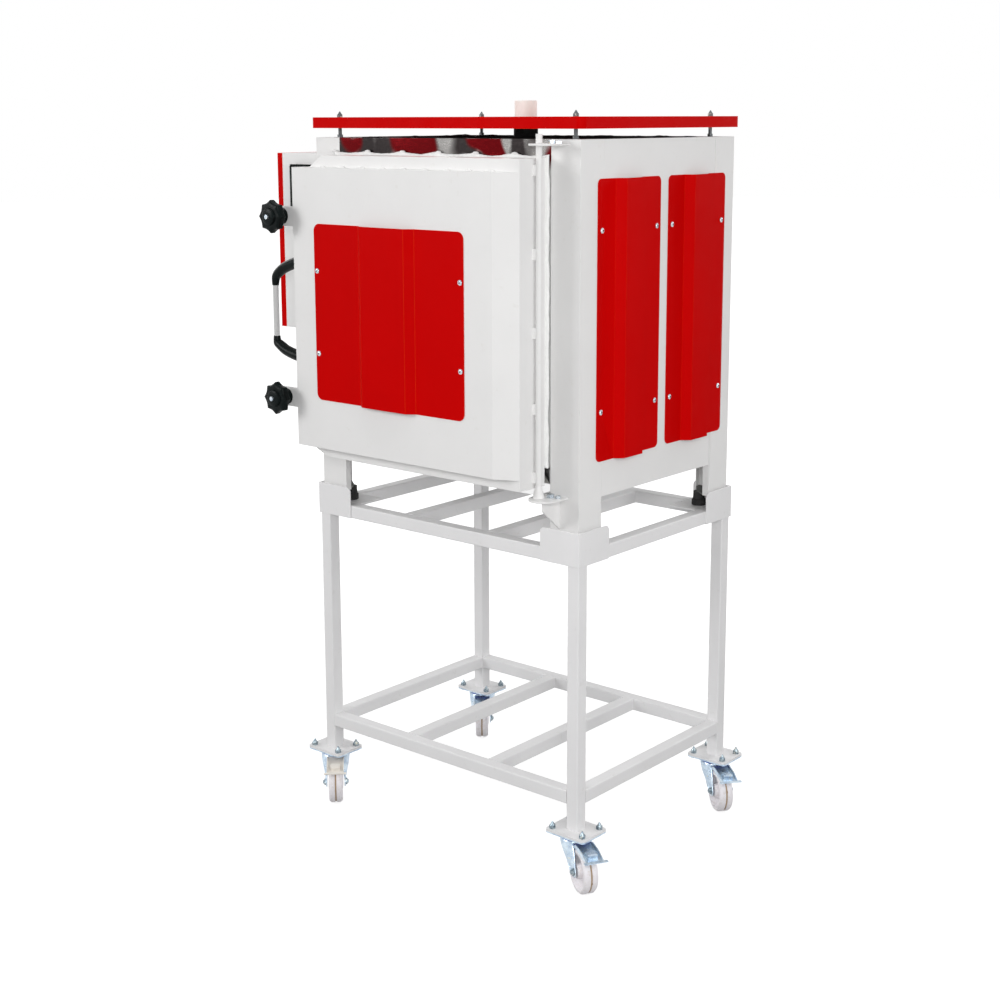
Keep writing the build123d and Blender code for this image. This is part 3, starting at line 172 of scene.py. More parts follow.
def moulded_black(name, rough=0.34):
    """Black moulded plastic with a fine grain."""
    finish = Finish(name, (0.002, 0.005, 0.005), rough)
    finish.shader.inputs["Specular IOR Level"].default_value = 0.07
    worn = finish.spread(finish.grain(35, detail=5), 0.5, 0.8)
    finish.colour(finish.blend(worn, (0.0015, 0.0035, 0.0035), (0.006, 0.011, 0.011)))
    finish.roughness(finish.spread(finish.grain(90, detail=3), 0.3, 0.7, rough - 0.06, rough + 0.12))
    finish.relief(finish.grain(1600, detail=2), depth=0.00006, strength=0.5)
    return finish


BRICK = (0.78, 0.71, 0.58)
# Two tones of brick, the joint between them, and the length, height and joint of a course in metres.
BRICKWORK = {
    "Color1": (0.8, 0.73, 0.6, 1), "Color2": (0.74, 0.67, 0.54, 1), "Mortar": (0.42, 0.37, 0.3, 1),
    "Mortar Size": 0.0009, "Brick Width": 0.23, "Row Height": 0.0645,
}


def firebrick(name, across, up):
    """Light firebrick laid in courses: pores, soft joints and faint scorching."""
    finish = Finish(name, BRICK, 0.95)
    split = finish.add("ShaderNodeSeparateXYZ", Vector=finish.place)
    wall = finish.nodes.new("ShaderNodeCombineXYZ")
    finish.links.new(split.outputs[across], wall.inputs[0])
    finish.links.new(split.outputs[up], wall.inputs[1])
    courses = finish.add("ShaderNodeTexBrick", Vector=wall.outputs[0], Scale=1.0)
    for name, value in BRICKWORK.items():
        courses.inputs[name].default_value = value
    pores = finish.spread(finish.cells(260), 0.0, 0.35)
    speck = finish.spread(finish.grain(90, detail=6, rough=0.7), 0.45, 0.75)
    finish.colour(finish.blend(speck, courses.outputs["Color"], (0.6, 0.5, 0.38)))
    finish.relief(pores, depth=0.0008, strength=0.6)
    finish.relief(courses.outputs["Fac"], depth=-0.001, strength=0.8)
    return finish


def fibre_blanket(name, colour=(0.9, 0.9, 0.89)):
    """White ceramic fibre: soft tufts and fine strands."""
    finish = Finish(name, colour, 1.0)
    tufts = finish.grain(60, detail=6, rough=0.7)
    strands = finish.grain(1.0, detail=5, rough=0.65, vector=finish.stretched((900, 900, 160)))
    finish.colour(finish.blend(finish.spread(tufts, 0.35, 0.7), tuple(c * 0.92 for c in colour), colour))
    finish.relief(tufts, depth=0.003, strength=0.35)
    finish.relief(strands, depth=0.0006, strength=0.7)
    return finish


def kiln_finishes():
    """Every finish on the kiln, by name."""
    finishes = {
        "white coat": powder_coat("white coat", (0.8, 0.795, 0.79), (0.74, 0.73, 0.71)),
        "stand coat": powder_coat("stand coat", (0.8, 0.795, 0.8), (0.7, 0.69, 0.68)),
        "red coat": powder_coat("red coat", (0.575, 0.0003, 0.0005), (0.53, 0.001, 0.001), rough=0.5,
                                shine=0.02),
        # Painted highlight: brighter orange red for the rounded folds of the red sheets.
        "red fold painted highlight": powder_coat("red fold painted highlight", (0.82, 0.06, 0.004), (0.78, 0.1, 0.01), rough=0.4, shine=0.1),
        "zinc": plated_zinc("zinc", (0.62, 0.72, 0.8), (0.38, 0.48, 0.6)),
        "bright zinc": plated_zinc("bright zinc", (0.66, 0.7, 0.73), (0.38, 0.44, 0.5), rough=0.24),
        "nut zinc": plated_zinc("nut zinc", (0.4, 0.47, 0.5), (0.09, 0.13, 0.17), grain=230),
        "black plastic": moulded_black("black plastic"),
        "handle black": moulded_black("handle black", rough=0.28),
        "brick side": firebrick("brick side", 1, 2),
        "brick back": firebrick("brick back", 0, 2),
        "brick flat": firebrick("brick flat", 0, 1),
        "fibre": fibre_blanket("fibre"),
        "door board": fibre_blanket("door board", (0.84, 0.83, 0.79)),
    }
    finishes["mirror steel"] = mirror_steel()
    finishes["grip coat"] = powder_coat("grip coat", (0.56, 0.56, 0.56), (0.5, 0.5, 0.5), rough=0.35)
    finishes["black top"] = black_top()
    finishes["rubber"] = foot_rubber()
    finishes["nylon"] = wheel_nylon()
    finishes["vent ceramic"] = vent_ceramic()
    finishes["heating wire"] = heating_wire()
    # Painted highlight: the pale cream stands for bright light on the front-left pedal's zinc; its brownish
    # dust is dirt.
    finishes["pedal painted highlight"] = powder_coat("pedal painted highlight", (0.8, 0.76, 0.7), (0.5, 0.44, 0.36))
    # Painted shade for the legs of the corner posts where they look inwards under the kiln.
    finishes["post inside painted shade"] = powder_coat("post inside painted shade", (0.1, 0.105, 0.1), (0.16, 0.15, 0.13), rough=0.6)
    finishes["tread dirt"] = powder_coat("tread dirt", (0.42, 0.3, 0.2), (0.6, 0.52, 0.45), rough=0.7)
    # Painted shade for the cross recess of the screw heads.
    finishes["recess painted shade"] = moulded_black("recess painted shade", rough=0.6)
    # Painted shade: the roof standoffs are dark because they stand in the shadow under the roof plate.
    finishes["rod painted shade"] = plated_zinc("rod painted shade", (0.16, 0.17, 0.18), (0.08, 0.085, 0.09), rough=0.5)
    finishes["dust seal"] = Finish("dust seal", (0.01, 0.05, 0.5), 0.4)
    blue = finishes["dust seal"]
    blue.colour(blue.blend(blue.grain(80, detail=3), (0.008, 0.03, 0.42), (0.015, 0.08, 0.6)))
    return {name: finish.material for name, finish in finishes.items()}


# How far under the plate's top edge the painted reflection of the room ends and reaches its full tone, in
# metres.
PAINTED_REFLECTION_END = 0.062
PAINTED_REFLECTION_FULL = 0.042


def mirror_steel():
    """Polished sheet: dark and red clouds along its top are a painted reflection of the room, and it is plain
    grey below.
    """
    finish = Finish("mirror steel", (0.5, 0.5, 0.5), 0.07, metal=1.0)
    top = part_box("front_plate")[1][2]
    height = finish.add("ShaderNodeSeparateXYZ", Vector=finish.place).outputs[2]
    painted_reflection_share = finish.spread(height, top - PAINTED_REFLECTION_END, top - PAINTED_REFLECTION_FULL)
    # Painted reflection: dark clouds for the dark parts of the room and red clouds for the red parts nearby,
    # along the top edge.
    dark = finish.spread(finish.grain(1.0, detail=1.0, vector=finish.stretched((17, 3, 7))), 0.42, 0.53)
    red = finish.spread(finish.grain(1.0, detail=0.5, vector=finish.stretched((13, 9, 10))), 0.52, 0.58)
    clouds = finish.blend(dark, (0.34, 0.33, 0.32), (0.04, 0.034, 0.034))
    clouds = finish.blend(red, clouds, (0.13, 0.004, 0.006))
    finish.colour(finish.blend(painted_reflection_share, (0.6, 0.6, 0.6), clouds))
    marks = finish.grain(1.0, detail=4, vector=finish.stretched((60, 60, 500)))
    finish.roughness(finish.spread(marks, 0.35, 0.75, 0.04, 0.14))
    finish.relief(finish.grain(9, detail=1), depth=0.004, strength=0.35)
    return finish


def black_top():
    """Sooty black fibre and paint of the kiln's top."""
    finish = Finish("black top", (0.012, 0.012, 0.013), 0.85)
    lumps = finish.grain(40, detail=5, rough=0.6)
    sooty = finish.spread(lumps, 0.45, 0.75)
    finish.colour(finish.blend(sooty, (0.008, 0.008, 0.009), (0.04, 0.04, 0.042)))
    finish.relief(lumps, depth=0.004, strength=0.7)
    return finish


def foot_rubber():
    """Black rubber with a dusty bloom."""
    finish = Finish("rubber", (0.014, 0.014, 0.014), 0.75)
    bloom = finish.spread(finish.grain(60, detail=5), 0.5, 0.8)
    finish.colour(finish.blend(bloom, (0.01, 0.01, 0.01), (0.05, 0.05, 0.048)))
    finish.relief(finish.grain(700, detail=2), depth=0.0001, strength=0.5)
    return finish


def wheel_nylon():
    """White cast nylon, a little dirty near the floor."""
    finish = Finish("nylon", (0.9, 0.88, 0.9), 0.42)
    dirt = finish.spread(finish.grain(110, detail=6, rough=0.7), 0.5, 0.75)
    finish.colour(finish.blend(dirt, (0.9, 0.87, 0.9), (0.74, 0.68, 0.66)))
    finish.roughness(finish.spread(finish.grain(60, detail=3), 0.3, 0.7, 0.35, 0.55))
    finish.relief(finish.grain(500, detail=3), depth=0.00015, strength=0.5)
    return finish


def vent_ceramic():
    """Unglazed cream ceramic."""
    finish = Finish("vent ceramic", (0.9, 0.78, 0.66), 0.85)
    cloud = finish.spread(finish.grain(25, detail=5), 0.35, 0.7)
    finish.colour(finish.blend(cloud, (0.9, 0.98, 0.93), (0.86, 0.92, 0.85)))
    finish.relief(finish.grain(600, detail=3), depth=0.0002, strength=0.6)
    return finish


def heating_wire():
    """Oxidised resistance wire."""
    finish = Finish("heating wire", (0.13, 0.125, 0.12), 0.6, metal=0.6)
    scale = finish.spread(finish.grain(300, detail=4), 0.4, 0.7)
    finish.colour(finish.blend(scale, (0.1, 0.095, 0.09), (0.25, 0.23, 0.2)))
    finish.relief(finish.grain(1500, detail=2), depth=0.0001, strength=0.5)
    return finish


FINISH = kiln_finishes()

NODE_FINISH = {
    "stand_legs": "stand coat", "upper_rails": "stand coat", "lower_rails": "stand coat",
    "corner_pockets": "stand coat", "castor_plates": "stand coat", "castor_heads": "zinc",
    "castor_bolts": "nut zinc", "rubber_feet": "rubber", "corner_posts": "white coat",
    "right_panel": "white coat", "left_panel": "white coat", "back_panel": "white coat",
    "bottom_panel": "white coat", "top_panel": "black top", "front_plate": "mirror steel",
    "floor_lining": "brick flat", "roof_lining": "brick flat", "side_linings": "brick side",
    "back_lining": "brick back", "elements": "heating wire", "thermocouple": "vent ceramic",
    "vent_tube": "vent ceramic", "vent_collar": "black top", "roof_plate": "red coat",
    "roof_standoffs": "rod painted shade", "side_covers": "red coat", "cover_screws": "bright zinc",
    # The door switch's black plastic is painted shade for the dark gap at the door's top left.
    "control_housing": "white coat", "control_lid": "red coat", "door_switch": "black plastic",
    "hinge_brackets": "white coat", "bracket_nuts": "bright zinc", "latch_catches": "zinc",
    "door_skin": "white coat", "door_frame": "white coat", "door_plug": "door board",
    "door_seal": "fibre", "door_panel": "red coat", "panel_screws": "bright zinc",
    "hinge_rod": "white coat", "hinge_lugs": "white coat", "latch_ears": "white coat",
    "handle_grip": "grip coat", "handle_elbows": "handle black", "knob_upper": "black plastic",
    "knob_lower": "black plastic", "stud_upper": "bright zinc", "stud_lower": "bright zinc",
}
CORNERS = ("fr", "fl", "br", "bl")
for corner in CORNERS:
    NODE_FINISH["castor_fork_" + corner] = "zinc"
    NODE_FINISH["castor_wheel_" + corner] = "nylon"
    NODE_FINISH["castor_pedal_" + corner] = "zinc"
# The front-left pedal gets the cream painted highlight; the other pedals are zinc.
NODE_FINISH["castor_pedal_fl"] = "pedal painted highlight"

JOINTS = {joint["name"]: joint for joint in frame["record"]["behaviour"]["joints"]}
BODY = {node: body for body, nodes in frame["record"]["behaviour"]["bodies"].items() for node in nodes}


def paint(obj, name):
    """Give an object one finish all over."""
    slots = obj.material_slots
    if len(slots):
        for slot in slots:
            slot.material = FINISH[name]
    else:
        obj.data.materials.append(FINISH[name])


for node, obj in frame["nodes"].items():
    paint(obj, NODE_FINISH[node])


# Pieces

def linked(name, data):
    """A new object in the scene."""
    obj = bpy.data.objects.new(name, data)
    scene.collection.objects.link(obj)
    return obj


def object_from(bm, name, finish):
    """A built mesh as an object with one finish."""
    mesh = bpy.data.meshes.new(name)
    bm.to_mesh(mesh)
    bm.free()
    mesh.materials.append(FINISH[finish])
    return linked(name, mesh)


def settle(obj, body, replaced=(), sharp=None):
    """Shade a piece smooth up to an angle, put it on its body and let it stand for its nodes."""
    if sharp:
        obj.data.shade_smooth()
        obj.data.set_sharp_from_angle(angle=math.radians(sharp))
    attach(obj, body)
    if replaced:
        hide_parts(*replaced)
    return obj


def applied_mesh(obj):
    """The mesh of an object as its modifiers or its curve make it."""
    graph = bpy.context.evaluated_depsgraph_get()
    return bpy.data.meshes.new_from_object(obj.evaluated_get(graph), depsgraph=graph)


def angles(count):
    """Angles that divide a turn evenly, in radians."""
    return [2 * math.pi * i / count for i in range(count)]


def skin(bm, loops):
    """Faces between each loop of points and the next."""
    count = len(loops[0])
    for near, far in zip(loops, loops[1:]):
        for i in range(count):
            j = (i + 1) % count
            bm.faces.new((near[i], near[j], far[j], far[i]))


MERGE_DISTANCE = 0.00001


def merged(node):
    """A copy of a node's mesh with its doubles merged and its flat faces joined."""
    bm = bmesh.new()
    bm.from_mesh(frame["nodes"][node].data)
    bmesh.ops.remove_doubles(bm, verts=bm.verts, dist=MERGE_DISTANCE)
    bmesh.ops.dissolve_limit(bm, angle_limit=math.radians(1.0), verts=bm.verts, edges=bm.edges)
    return bm


def softened(node, width, angle=28):
    """A node's shape with its sharp edges rounded, standing for the node; red sheets get a painted highlight,
    a brighter orange red, on their rounded folds.
    """
    obj = object_from(merged(node), node + "_softened", NODE_FINISH[node])
    settle(obj, BODY[node], (node,))
    rounding = obj.modifiers.new("rounding", "BEVEL")
    rounding.width = width / 1000
    rounding.segments = 2
    rounding.limit_method = "ANGLE"
    rounding.angle_limit = math.radians(angle)
    # The rounded edges of red sheets get the painted highlight.
    if NODE_FINISH[node] == "red coat":
        obj.data.materials.append(FINISH["red fold painted highlight"])
        rounding.material = 1
    return obj


# How far the edges of each piece are rounded, in millimetres.
EDGE_ROUNDING = {
    "roof_plate": 1.2, "door_skin": 1.4, "door_frame": 1.0, "corner_posts": 0.9, "right_panel": 0.5,
    "left_panel": 0.5, "back_panel": 0.5, "control_housing": 0.8, "control_lid": 0.9,
    "side_covers": 0.6, "door_panel": 0.6, "castor_plates": 1.0, "corner_pockets": 0.7,
    "hinge_brackets": 0.8, "latch_ears": 0.9, "door_switch": 0.8,
}
for node, width in EDGE_ROUNDING.items():
    softened(node, width)


def shade_faces(name, finish, chosen):
    """Give a second finish to the faces of a piece that a test picks by middle and direction."""
    mesh = bpy.data.objects[name].data
    mesh.materials.append(FINISH[finish])
    for face in mesh.polygons:
        if chosen(face.center, face.normal):
            face.material_index = len(mesh.materials) - 1


# How far the inner corner of each foot plate is cut back, and how near it a point counts as that corner.
FOOT_PLATE_CUT = 0.024
FOOT_PLATE_REACH = 0.003


def post_inside_shade_and_foot_cut():
    """Painted shade: dark grey on the legs of the corner posts where they look inwards under the kiln; the
    inner corner of each foot plate is cut back too.
    """
    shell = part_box("bottom_panel")[0][2]

    def inside(middle, normal):
        outwards = normal.x * (middle.x - CENTRE_X) + normal.y * (middle.y - CENTRE_Y)
        return middle.z < shell and (abs(normal.z) > 0.5 or outwards <= 0)

    shade_faces("corner_posts_softened", "post inside painted shade", inside)
    points = [vert.co for vert in bpy.data.objects["corner_posts_softened"].data.vertices]
    corners = [co for co in points if co.z < shell]
    inner_x = min(abs(co.x - CENTRE_X) for co in corners) + FOOT_PLATE_REACH
    inner_y = min(abs(co.y - CENTRE_Y) for co in corners) + FOOT_PLATE_REACH
    for co in corners:
        if abs(co.x - CENTRE_X) < inner_x and abs(co.y - CENTRE_Y) < inner_y:
            co.x += math.copysign(FOOT_PLATE_CUT, co.x - CENTRE_X)
            co.y += math.copysign(FOOT_PLATE_CUT, co.y - CENTRE_Y)


# Height and radius of a rubber foot, from the stand up, in millimetres.
FOOT_PROFILE = [(0.0, 15.0), (1.0, 16.5), (13.0, 16.5), (15.0, 14.0), (24.0, 13.0), (32.0, 13.0)]


def rubber_feet():
    """Turned rubber feet: a wide heel on the stand and a narrower neck under the post."""
    feet = solids_of("rubber_feet")
    grower = Grower("rubber feet", Height=feet[0][1].z - feet[0][0].z)
    height = grower.given[1]
    full = FOOT_PROFILE[-1][0]
    slices = []
    for (low, wide), (high, narrow) in zip(FOOT_PROFILE, FOOT_PROFILE[1:]):
        part = grower.add("GeometryNodeMeshCone", Vertices=32, Radius_Bottom=wide / 1000,
                          Radius_Top=narrow / 1000, Depth=grower.times(height, (high - low) / full))
        lift = grower.add("ShaderNodeCombineXYZ", Z=grower.times(height, low / full))
        slices.append(grower.moved(part, lift))
    grower.placed(grower.join(*slices), "rubber")
    places = [((low.x + high.x) / 2, (low.y + high.y) / 2, low.z) for low, high in feet]
    return grower.grow("feet_turned", places, "kiln", ("rubber_feet",))


RIB_COUNT = 7
RIB_EDGE = 0.003
RIB_LIFT = 0.0015


def switch_ribs():
    """Ribs along the top of the black door switch; the switch and its ribs are black as painted shade for the
    dark gap at the door's top left.
    """
    low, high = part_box("door_switch")
    grower = Grower("switch ribs", Width=0.0042, Rise=0.005, Length=high[1] - low[1] - 0.002)
    size = grower.add("ShaderNodeCombineXYZ", X=grower.given[1], Y=grower.given[3], Z=grower.given[2])
    grower.placed(grower.add("GeometryNodeMeshCube", Size=size), "black plastic")
    pitch = (high[0] - low[0] - 2 * RIB_EDGE) / (RIB_COUNT - 1)
    middle = (low[1] + high[1]) / 2
    places = [(low[0] + RIB_EDGE + pitch * i, middle, high[2] + RIB_LIFT) for i in range(RIB_COUNT)]
    return grower.grow("switch_ribs", places, "kiln")


# Half the width of the groove round a wheel's tread and how deep it reaches, in metres.
GROOVE_HALF = 0.0022
GROOVE_DEPTH = 0.004


def wheel_grooves():
    """Wheels with dirt in the groove round the tread."""
    for corner in CORNERS:
        node = "castor_wheel_" + corner
        obj = softened(node, 0.8, angle=35)
        joint = JOINTS["roll_" + corner]
        axle, axis = Vector(joint["pos_m"]), Vector(joint["axis"]).normalized()
        tread = max(b - a for a, b in zip(*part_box(node))) / 2

        def in_groove(middle, normal):
            arm = middle - axle
            along = arm.dot(axis)
            return abs(along) < GROOVE_HALF and (arm - axis * along).length > tread - GROOVE_DEPTH

        shade_faces(obj.name, "tread dirt", in_groove)


# Repeated pieces, grown by node trees

class Grower:
    """A geometry node tree that grows one shape on every point it is given."""

    def __init__(self, name, **sizes):
        self.tree = bpy.data.node_groups.new(name, "GeometryNodeTree")
        sockets = self.tree.interface
        sockets.new_socket("Geometry", in_out="INPUT", socket_type="NodeSocketGeometry")
        sockets.new_socket("Geometry", in_out="OUTPUT", socket_type="NodeSocketGeometry")
        self.sizes = {}
        for size, value in sizes.items():
            socket = sockets.new_socket(size, in_out="INPUT", socket_type="NodeSocketFloat")
            self.sizes[socket.identifier] = value
        self.given = self.tree.nodes.new("NodeGroupInput").outputs
        self.result = self.tree.nodes.new("NodeGroupOutput").inputs[0]

    def add(self, kind, **sockets):
        """A new node with some of its inputs set or linked."""
        node = self.tree.nodes.new(kind)
        for name, value in sockets.items():
            feed(self.tree.links, node.inputs[name.replace("_", " ")], value)
        return node.outputs[0]

    def times(self, first, second):
        """Product of two numbers."""
        node = self.tree.nodes.new("ShaderNodeMath")
        node.operation = "MULTIPLY"
        for socket, value in zip(node.inputs, (first, second)):
            feed(self.tree.links, socket, value)
        return node.outputs[0]

    def moved(self, shape, place, **more):
        """A shape at another place, turned or scaled where that is given too."""
        return self.add("GeometryNodeTransform", Geometry=shape, Translation=place, **more)

    def join(self, *shapes):
        """Several shapes as one."""
        node = self.tree.nodes.new("GeometryNodeJoinGeometry")
        for shape in shapes:
            self.tree.links.new(shape, node.inputs[0])
        return node.outputs[0]

    def coated(self, shape, finish):
        """A shape with its material."""
        return self.add("GeometryNodeSetMaterial", Geometry=shape, Material=FINISH[finish])

    def placed(self, shape, finish, turn=(0, 0, 0), scale=None):
        """Put the shape on every point and make it real, coated if a finish is named."""
        points = self.add("GeometryNodeMeshToPoints", Mesh=self.given[0])
        sockets = {"Points": points, "Instance": shape, "Rotation": turn}
        if scale is not None:
            sockets["Scale"] = scale
        spread = self.add("GeometryNodeInstanceOnPoints", **sockets)
        real = self.add("GeometryNodeRealizeInstances", Geometry=spread)
        self.tree.links.new(self.coated(real, finish) if finish else real, self.result)

    def grow(self, name, places, body, replaced=(), sharp=35):
        """The grown mesh as a piece that rides on a body."""
        mesh = bpy.data.meshes.new(name + "_places")
        mesh.from_pydata([tuple(place) for place in places], [], [])
        seed = linked(name + "_seed", mesh)
        growth = seed.modifiers.new("growth", "NODES")
        growth.node_group = self.tree
        for identifier, value in self.sizes.items():
            growth[identifier] = value
        grown = applied_mesh(seed)
        bpy.data.objects.remove(seed)
        return settle(linked(name, grown), body, replaced, sharp)


# Parts of a node that lie within this distance count as one solid, in metres.
SAME_SOLID = 0.0012


def solids_of(node):
    """Boxes of the separate solids of a node, lowest and highest corner of each."""
    bm = bmesh.new()
    bm.from_mesh(frame["nodes"][node].data)
    bmesh.ops.remove_doubles(bm, verts=bm.verts, dist=MERGE_DISTANCE)
    left = set(bm.verts)
    boxes = []
    while left:
        heap = [left.pop()]
        island = list(heap)
        while heap:
            for edge in heap.pop().link_edges:
                for vert in edge.verts:
                    if vert in left:
                        left.remove(vert)
                        heap.append(vert)
                        island.append(vert)
        low = Vector([min(v.co[i] for v in island) for i in range(3)])
        high = Vector([max(v.co[i] for v in island) for i in range(3)])
        boxes.append((low, high))
    bm.free()
    whole = []
    for low, high in boxes:
        for other in whole:
            if all(low[i] <= other[1][i] + SAME_SOLID and other[0][i] <= high[i] + SAME_SOLID
                   for i in range(3)):
                for i in range(3):
                    other[0][i] = min(other[0][i], low[i])
                    other[1][i] = max(other[1][i], high[i])
                break
        else:
            whole.append((low.copy(), high.copy()))
    return sorted(whole, key=lambda box: tuple(round(c, 4) for c in box[0]))


# Sizes of a pan head in metres: the washer's height, the dome's rise and flatness, and its cross recess.
WASHER = 0.0011
DOME_RISE = 0.0009
DOME_FLATNESS = 0.44
DOME_SHARE = 0.82
RECESS_BAR = (0.0052, 0.0011, 0.0006)
RECESS_HEIGHT = 0.0028
RECESS_TURN = 0.4


def screw_heads(name, node, body, face, turn):
    """Pan heads with a washer face and a cross recess, on every screw of a node."""
    grower = Grower(name, Radius=0.0056, Washer=WASHER)
    radius = grower.given[1]
    washer = grower.add("GeometryNodeMeshCylinder", Vertices=28, Radius=radius, Depth=grower.given[2])
    washer = grower.moved(washer, (0, 0, WASHER / 2))
    ball = grower.add("GeometryNodeMeshUVSphere", Segments=28, Rings=12,
                      Radius=grower.times(radius, DOME_SHARE))
    dome = grower.moved(ball, (0, 0, DOME_RISE), Scale=(1, 1, DOME_FLATNESS))
    head = grower.coated(grower.join(washer, dome), "bright zinc")
    # The cross recess is two thin black bars on the dome: painted shade in place of a hollow.
    bars = []
    for angle in (RECESS_TURN, RECESS_TURN + math.pi / 2):
        bar = grower.add("GeometryNodeMeshCube", Size=RECESS_BAR)
        bars.append(grower.moved(bar, (0, 0, RECESS_HEIGHT), Rotation=(0, 0, angle)))
    grower.placed(grower.join(head, grower.coated(grower.join(*bars), "recess painted shade")), None, turn)
    places = []
    for low, high in solids_of(node):
        middle = (low + high) / 2
        places.append((face, middle.y, middle.z) if turn[1] else (middle.x, face, middle.z))
    return grower.grow(name, places, body, (node,))


# How far the middle of the wire lies inside the coil's outer radius, in metres.
COIL_INSET = 0.0012


def heating_coils():
    """Coiled wire in every groove of the side walls."""
    rows = solids_of("elements")
    grower = Grower("heating coils", Wire=0.0009, Turns=70.0)
    radius = (rows[0][1].x - rows[0][0].x) / 2
    length = rows[0][1].y - rows[0][0].y
    spiral = grower.add("GeometryNodeCurveSpiral", Resolution=10, Rotations=grower.given[2], Height=length)
    for socket in spiral.node.inputs:
        if "Radius" in socket.name:
            socket.default_value = radius - COIL_INSET
    ring = grower.add("GeometryNodeCurvePrimitiveCircle", Resolution=5, Radius=grower.given[1])
    wire = grower.add("GeometryNodeCurveToMesh", Curve=spiral, Profile_Curve=ring)
    grower.placed(wire, "heating wire", (-math.pi / 2, 0, 0))
    places = [((low.x + high.x) / 2, low.y, (low.z + high.z) / 2) for low, high in rows]
    return grower.grow("heating_coils", places, "kiln", ("elements",), sharp=80)


# How far the dust rings lie under the top of the castor heads, in metres.
RING_DROP = 0.006


def dust_rings():
    """Blue dust ring round the ball race of every castor."""
    grower = Grower("dust rings", Radius=0.0338, Thickness=0.0029)
    path = grower.add("GeometryNodeCurvePrimitiveCircle", Resolution=48, Radius=grower.given[1])
    section = grower.add("GeometryNodeCurvePrimitiveCircle", Resolution=10, Radius=grower.given[2])
    ring = grower.add("GeometryNodeCurveToMesh", Curve=path, Profile_Curve=section)
    grower.placed(ring, "dust seal")
    heads = solids_of("castor_heads")
    places = [((low.x + high.x) / 2, (low.y + high.y) / 2, high.z - RING_DROP) for low, high in heads]
    return grower.grow("dust_rings", places, "kiln", sharp=80)


# The tabs' number and places along the door's cover, and their pitch along the fibre blanket, in metres.
COVER_TABS = 9
TAB_FROM_LEFT = 0.075
TAB_FROM_RIGHT = 0.07
TAB_PITCH = 0.105
TAB_DEPTH = 0.0042
BLANKET_TAB_INSET = 0.004


def door_tabs():
    """Small bright tabs that pinch the door's cover to its frame, and the fibre blanket, along the top."""
    low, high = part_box("door_skin")
    grower = Grower("door tabs", Width=0.016, Rise=0.0034)
    tab = grower.add("GeometryNodeMeshUVSphere", Segments=16, Rings=8, Radius=1.0)
    size = grower.add("ShaderNodeCombineXYZ", X=grower.times(grower.given[1], 0.5), Y=TAB_DEPTH,
                      Z=grower.given[2])
    grower.placed(tab, "white coat", scale=size)
    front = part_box("door_frame")[0][1]
    first = low[0] + TAB_FROM_LEFT
    pitch = (high[0] - TAB_FROM_RIGHT - first) / (COVER_TABS - 1)
    places = [(first + pitch * i, front - 0.0015, high[2] + 0.0003) for i in range(COVER_TABS)]
    low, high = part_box("door_seal")
    inset = BLANKET_TAB_INSET
    places += [(low[0] + inset + TAB_PITCH * i, low[1] + inset, high[2] - inset)
               for i in range(int((high[0] - low[0]) / TAB_PITCH) + 1)]
    return grower.grow("door_tabs", places, "door", sharp=80)


# Single pieces

def turned(name, rings, finish, body, replaced=(), sharp=40):
    """Closed skin through rings of points; the first and last ring are capped."""
    bm = bmesh.new()
    loops = [[bm.verts.new(point) for point in ring] for ring in rings]
    skin(bm, loops)
    bm.faces.new(loops[0][::-1])
    bm.faces.new(loops[-1])
    bmesh.ops.recalc_face_normals(bm, faces=bm.faces)
    return settle(object_from(bm, name, finish), body, replaced, sharp)


# Depth from the door side, radius, and share of the scallops between the lobes, in millimetres.
KNOB_PROFILE = [(0.0, 15.0, 0.0), (0.6, 17.8, 0.0), (17.0, 18.5, 0.0), (20.5, 20.5, 0.1), (21.2, 29.0, 0.7),
                (22.6, 35.2, 1.0), (25.0, 36.6, 1.0), (36.0, 36.8, 1.0), (38.6, 35.0, 1.0), (39.8, 31.0, 0.8),
                (40.2, 24.0, 0.3), (40.4, 19.4, 0.0), (44.4, 18.2, 0.0), (45.6, 16.0, 0.0), (45.9, 8.0, 0.0)]


KNOB_LOBES = 8
KNOB_SCALLOP = 5.2
SCALLOP_POWER = 0.85


def star_knob(node, body):
    """Moulded star knob: a hub towards the door, a lobed rim and a low cap."""
    low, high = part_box(node)
    x, z = (low[0] + high[0]) / 2, (low[2] + high[2]) / 2
    rings = []
    for depth, radius, share in KNOB_PROFILE:
        ring = []
        for angle in angles(128):
            scallop = abs(math.sin(KNOB_LOBES * angle / 2)) ** SCALLOP_POWER
            out = (radius - KNOB_SCALLOP * share * scallop) / 1000
            ring.append((x + out * math.cos(angle), high[1] - depth / 1000, z + out * math.sin(angle)))
        rings.append(ring)
    return turned(node + "_moulded", rings, "black plastic", body, (node,))


def handle_elbow(side, path, radii):
    """One black elbow of the door handle, swept along a soft bend; its radii are in millimetres."""
    curve = bpy.data.curves.new("elbow path", "CURVE")
    curve.dimensions = "3D"
    curve.bevel_depth = 0.001
    curve.bevel_resolution = 8
    curve.resolution_u = 14
    curve.use_fill_caps = True
    spline = curve.splines.new("NURBS")
    spline.points.add(len(path) - 1)
    for point, place, radius in zip(spline.points, path, radii):
        point.co = (*place, 1)
        point.radius = radius
    spline.order_u = 3
    spline.use_endpoint_u = True
    guide = linked("elbow guide", curve)
    mesh = applied_mesh(guide)
    bpy.data.objects.remove(guide)
    mesh.materials.clear()
    mesh.materials.append(FINISH["handle black"])
    return linked("handle_elbow_" + side, mesh)


# Radius of an elbow along its path in millimetres, from the grip to the door.
ELBOW_RADII = (7.6, 9.4, 11.4, 12.4, 12.6)
# How much further the lower elbow reaches, how steep an elbow runs, and where its path turns, in metres.
LOWER_DROP = 0.006
ELBOW_SLOPE = 0.14
ELBOW_END = 0.012
ELBOW_STEPS = (0.0, 0.0, 0.008, 0.036)


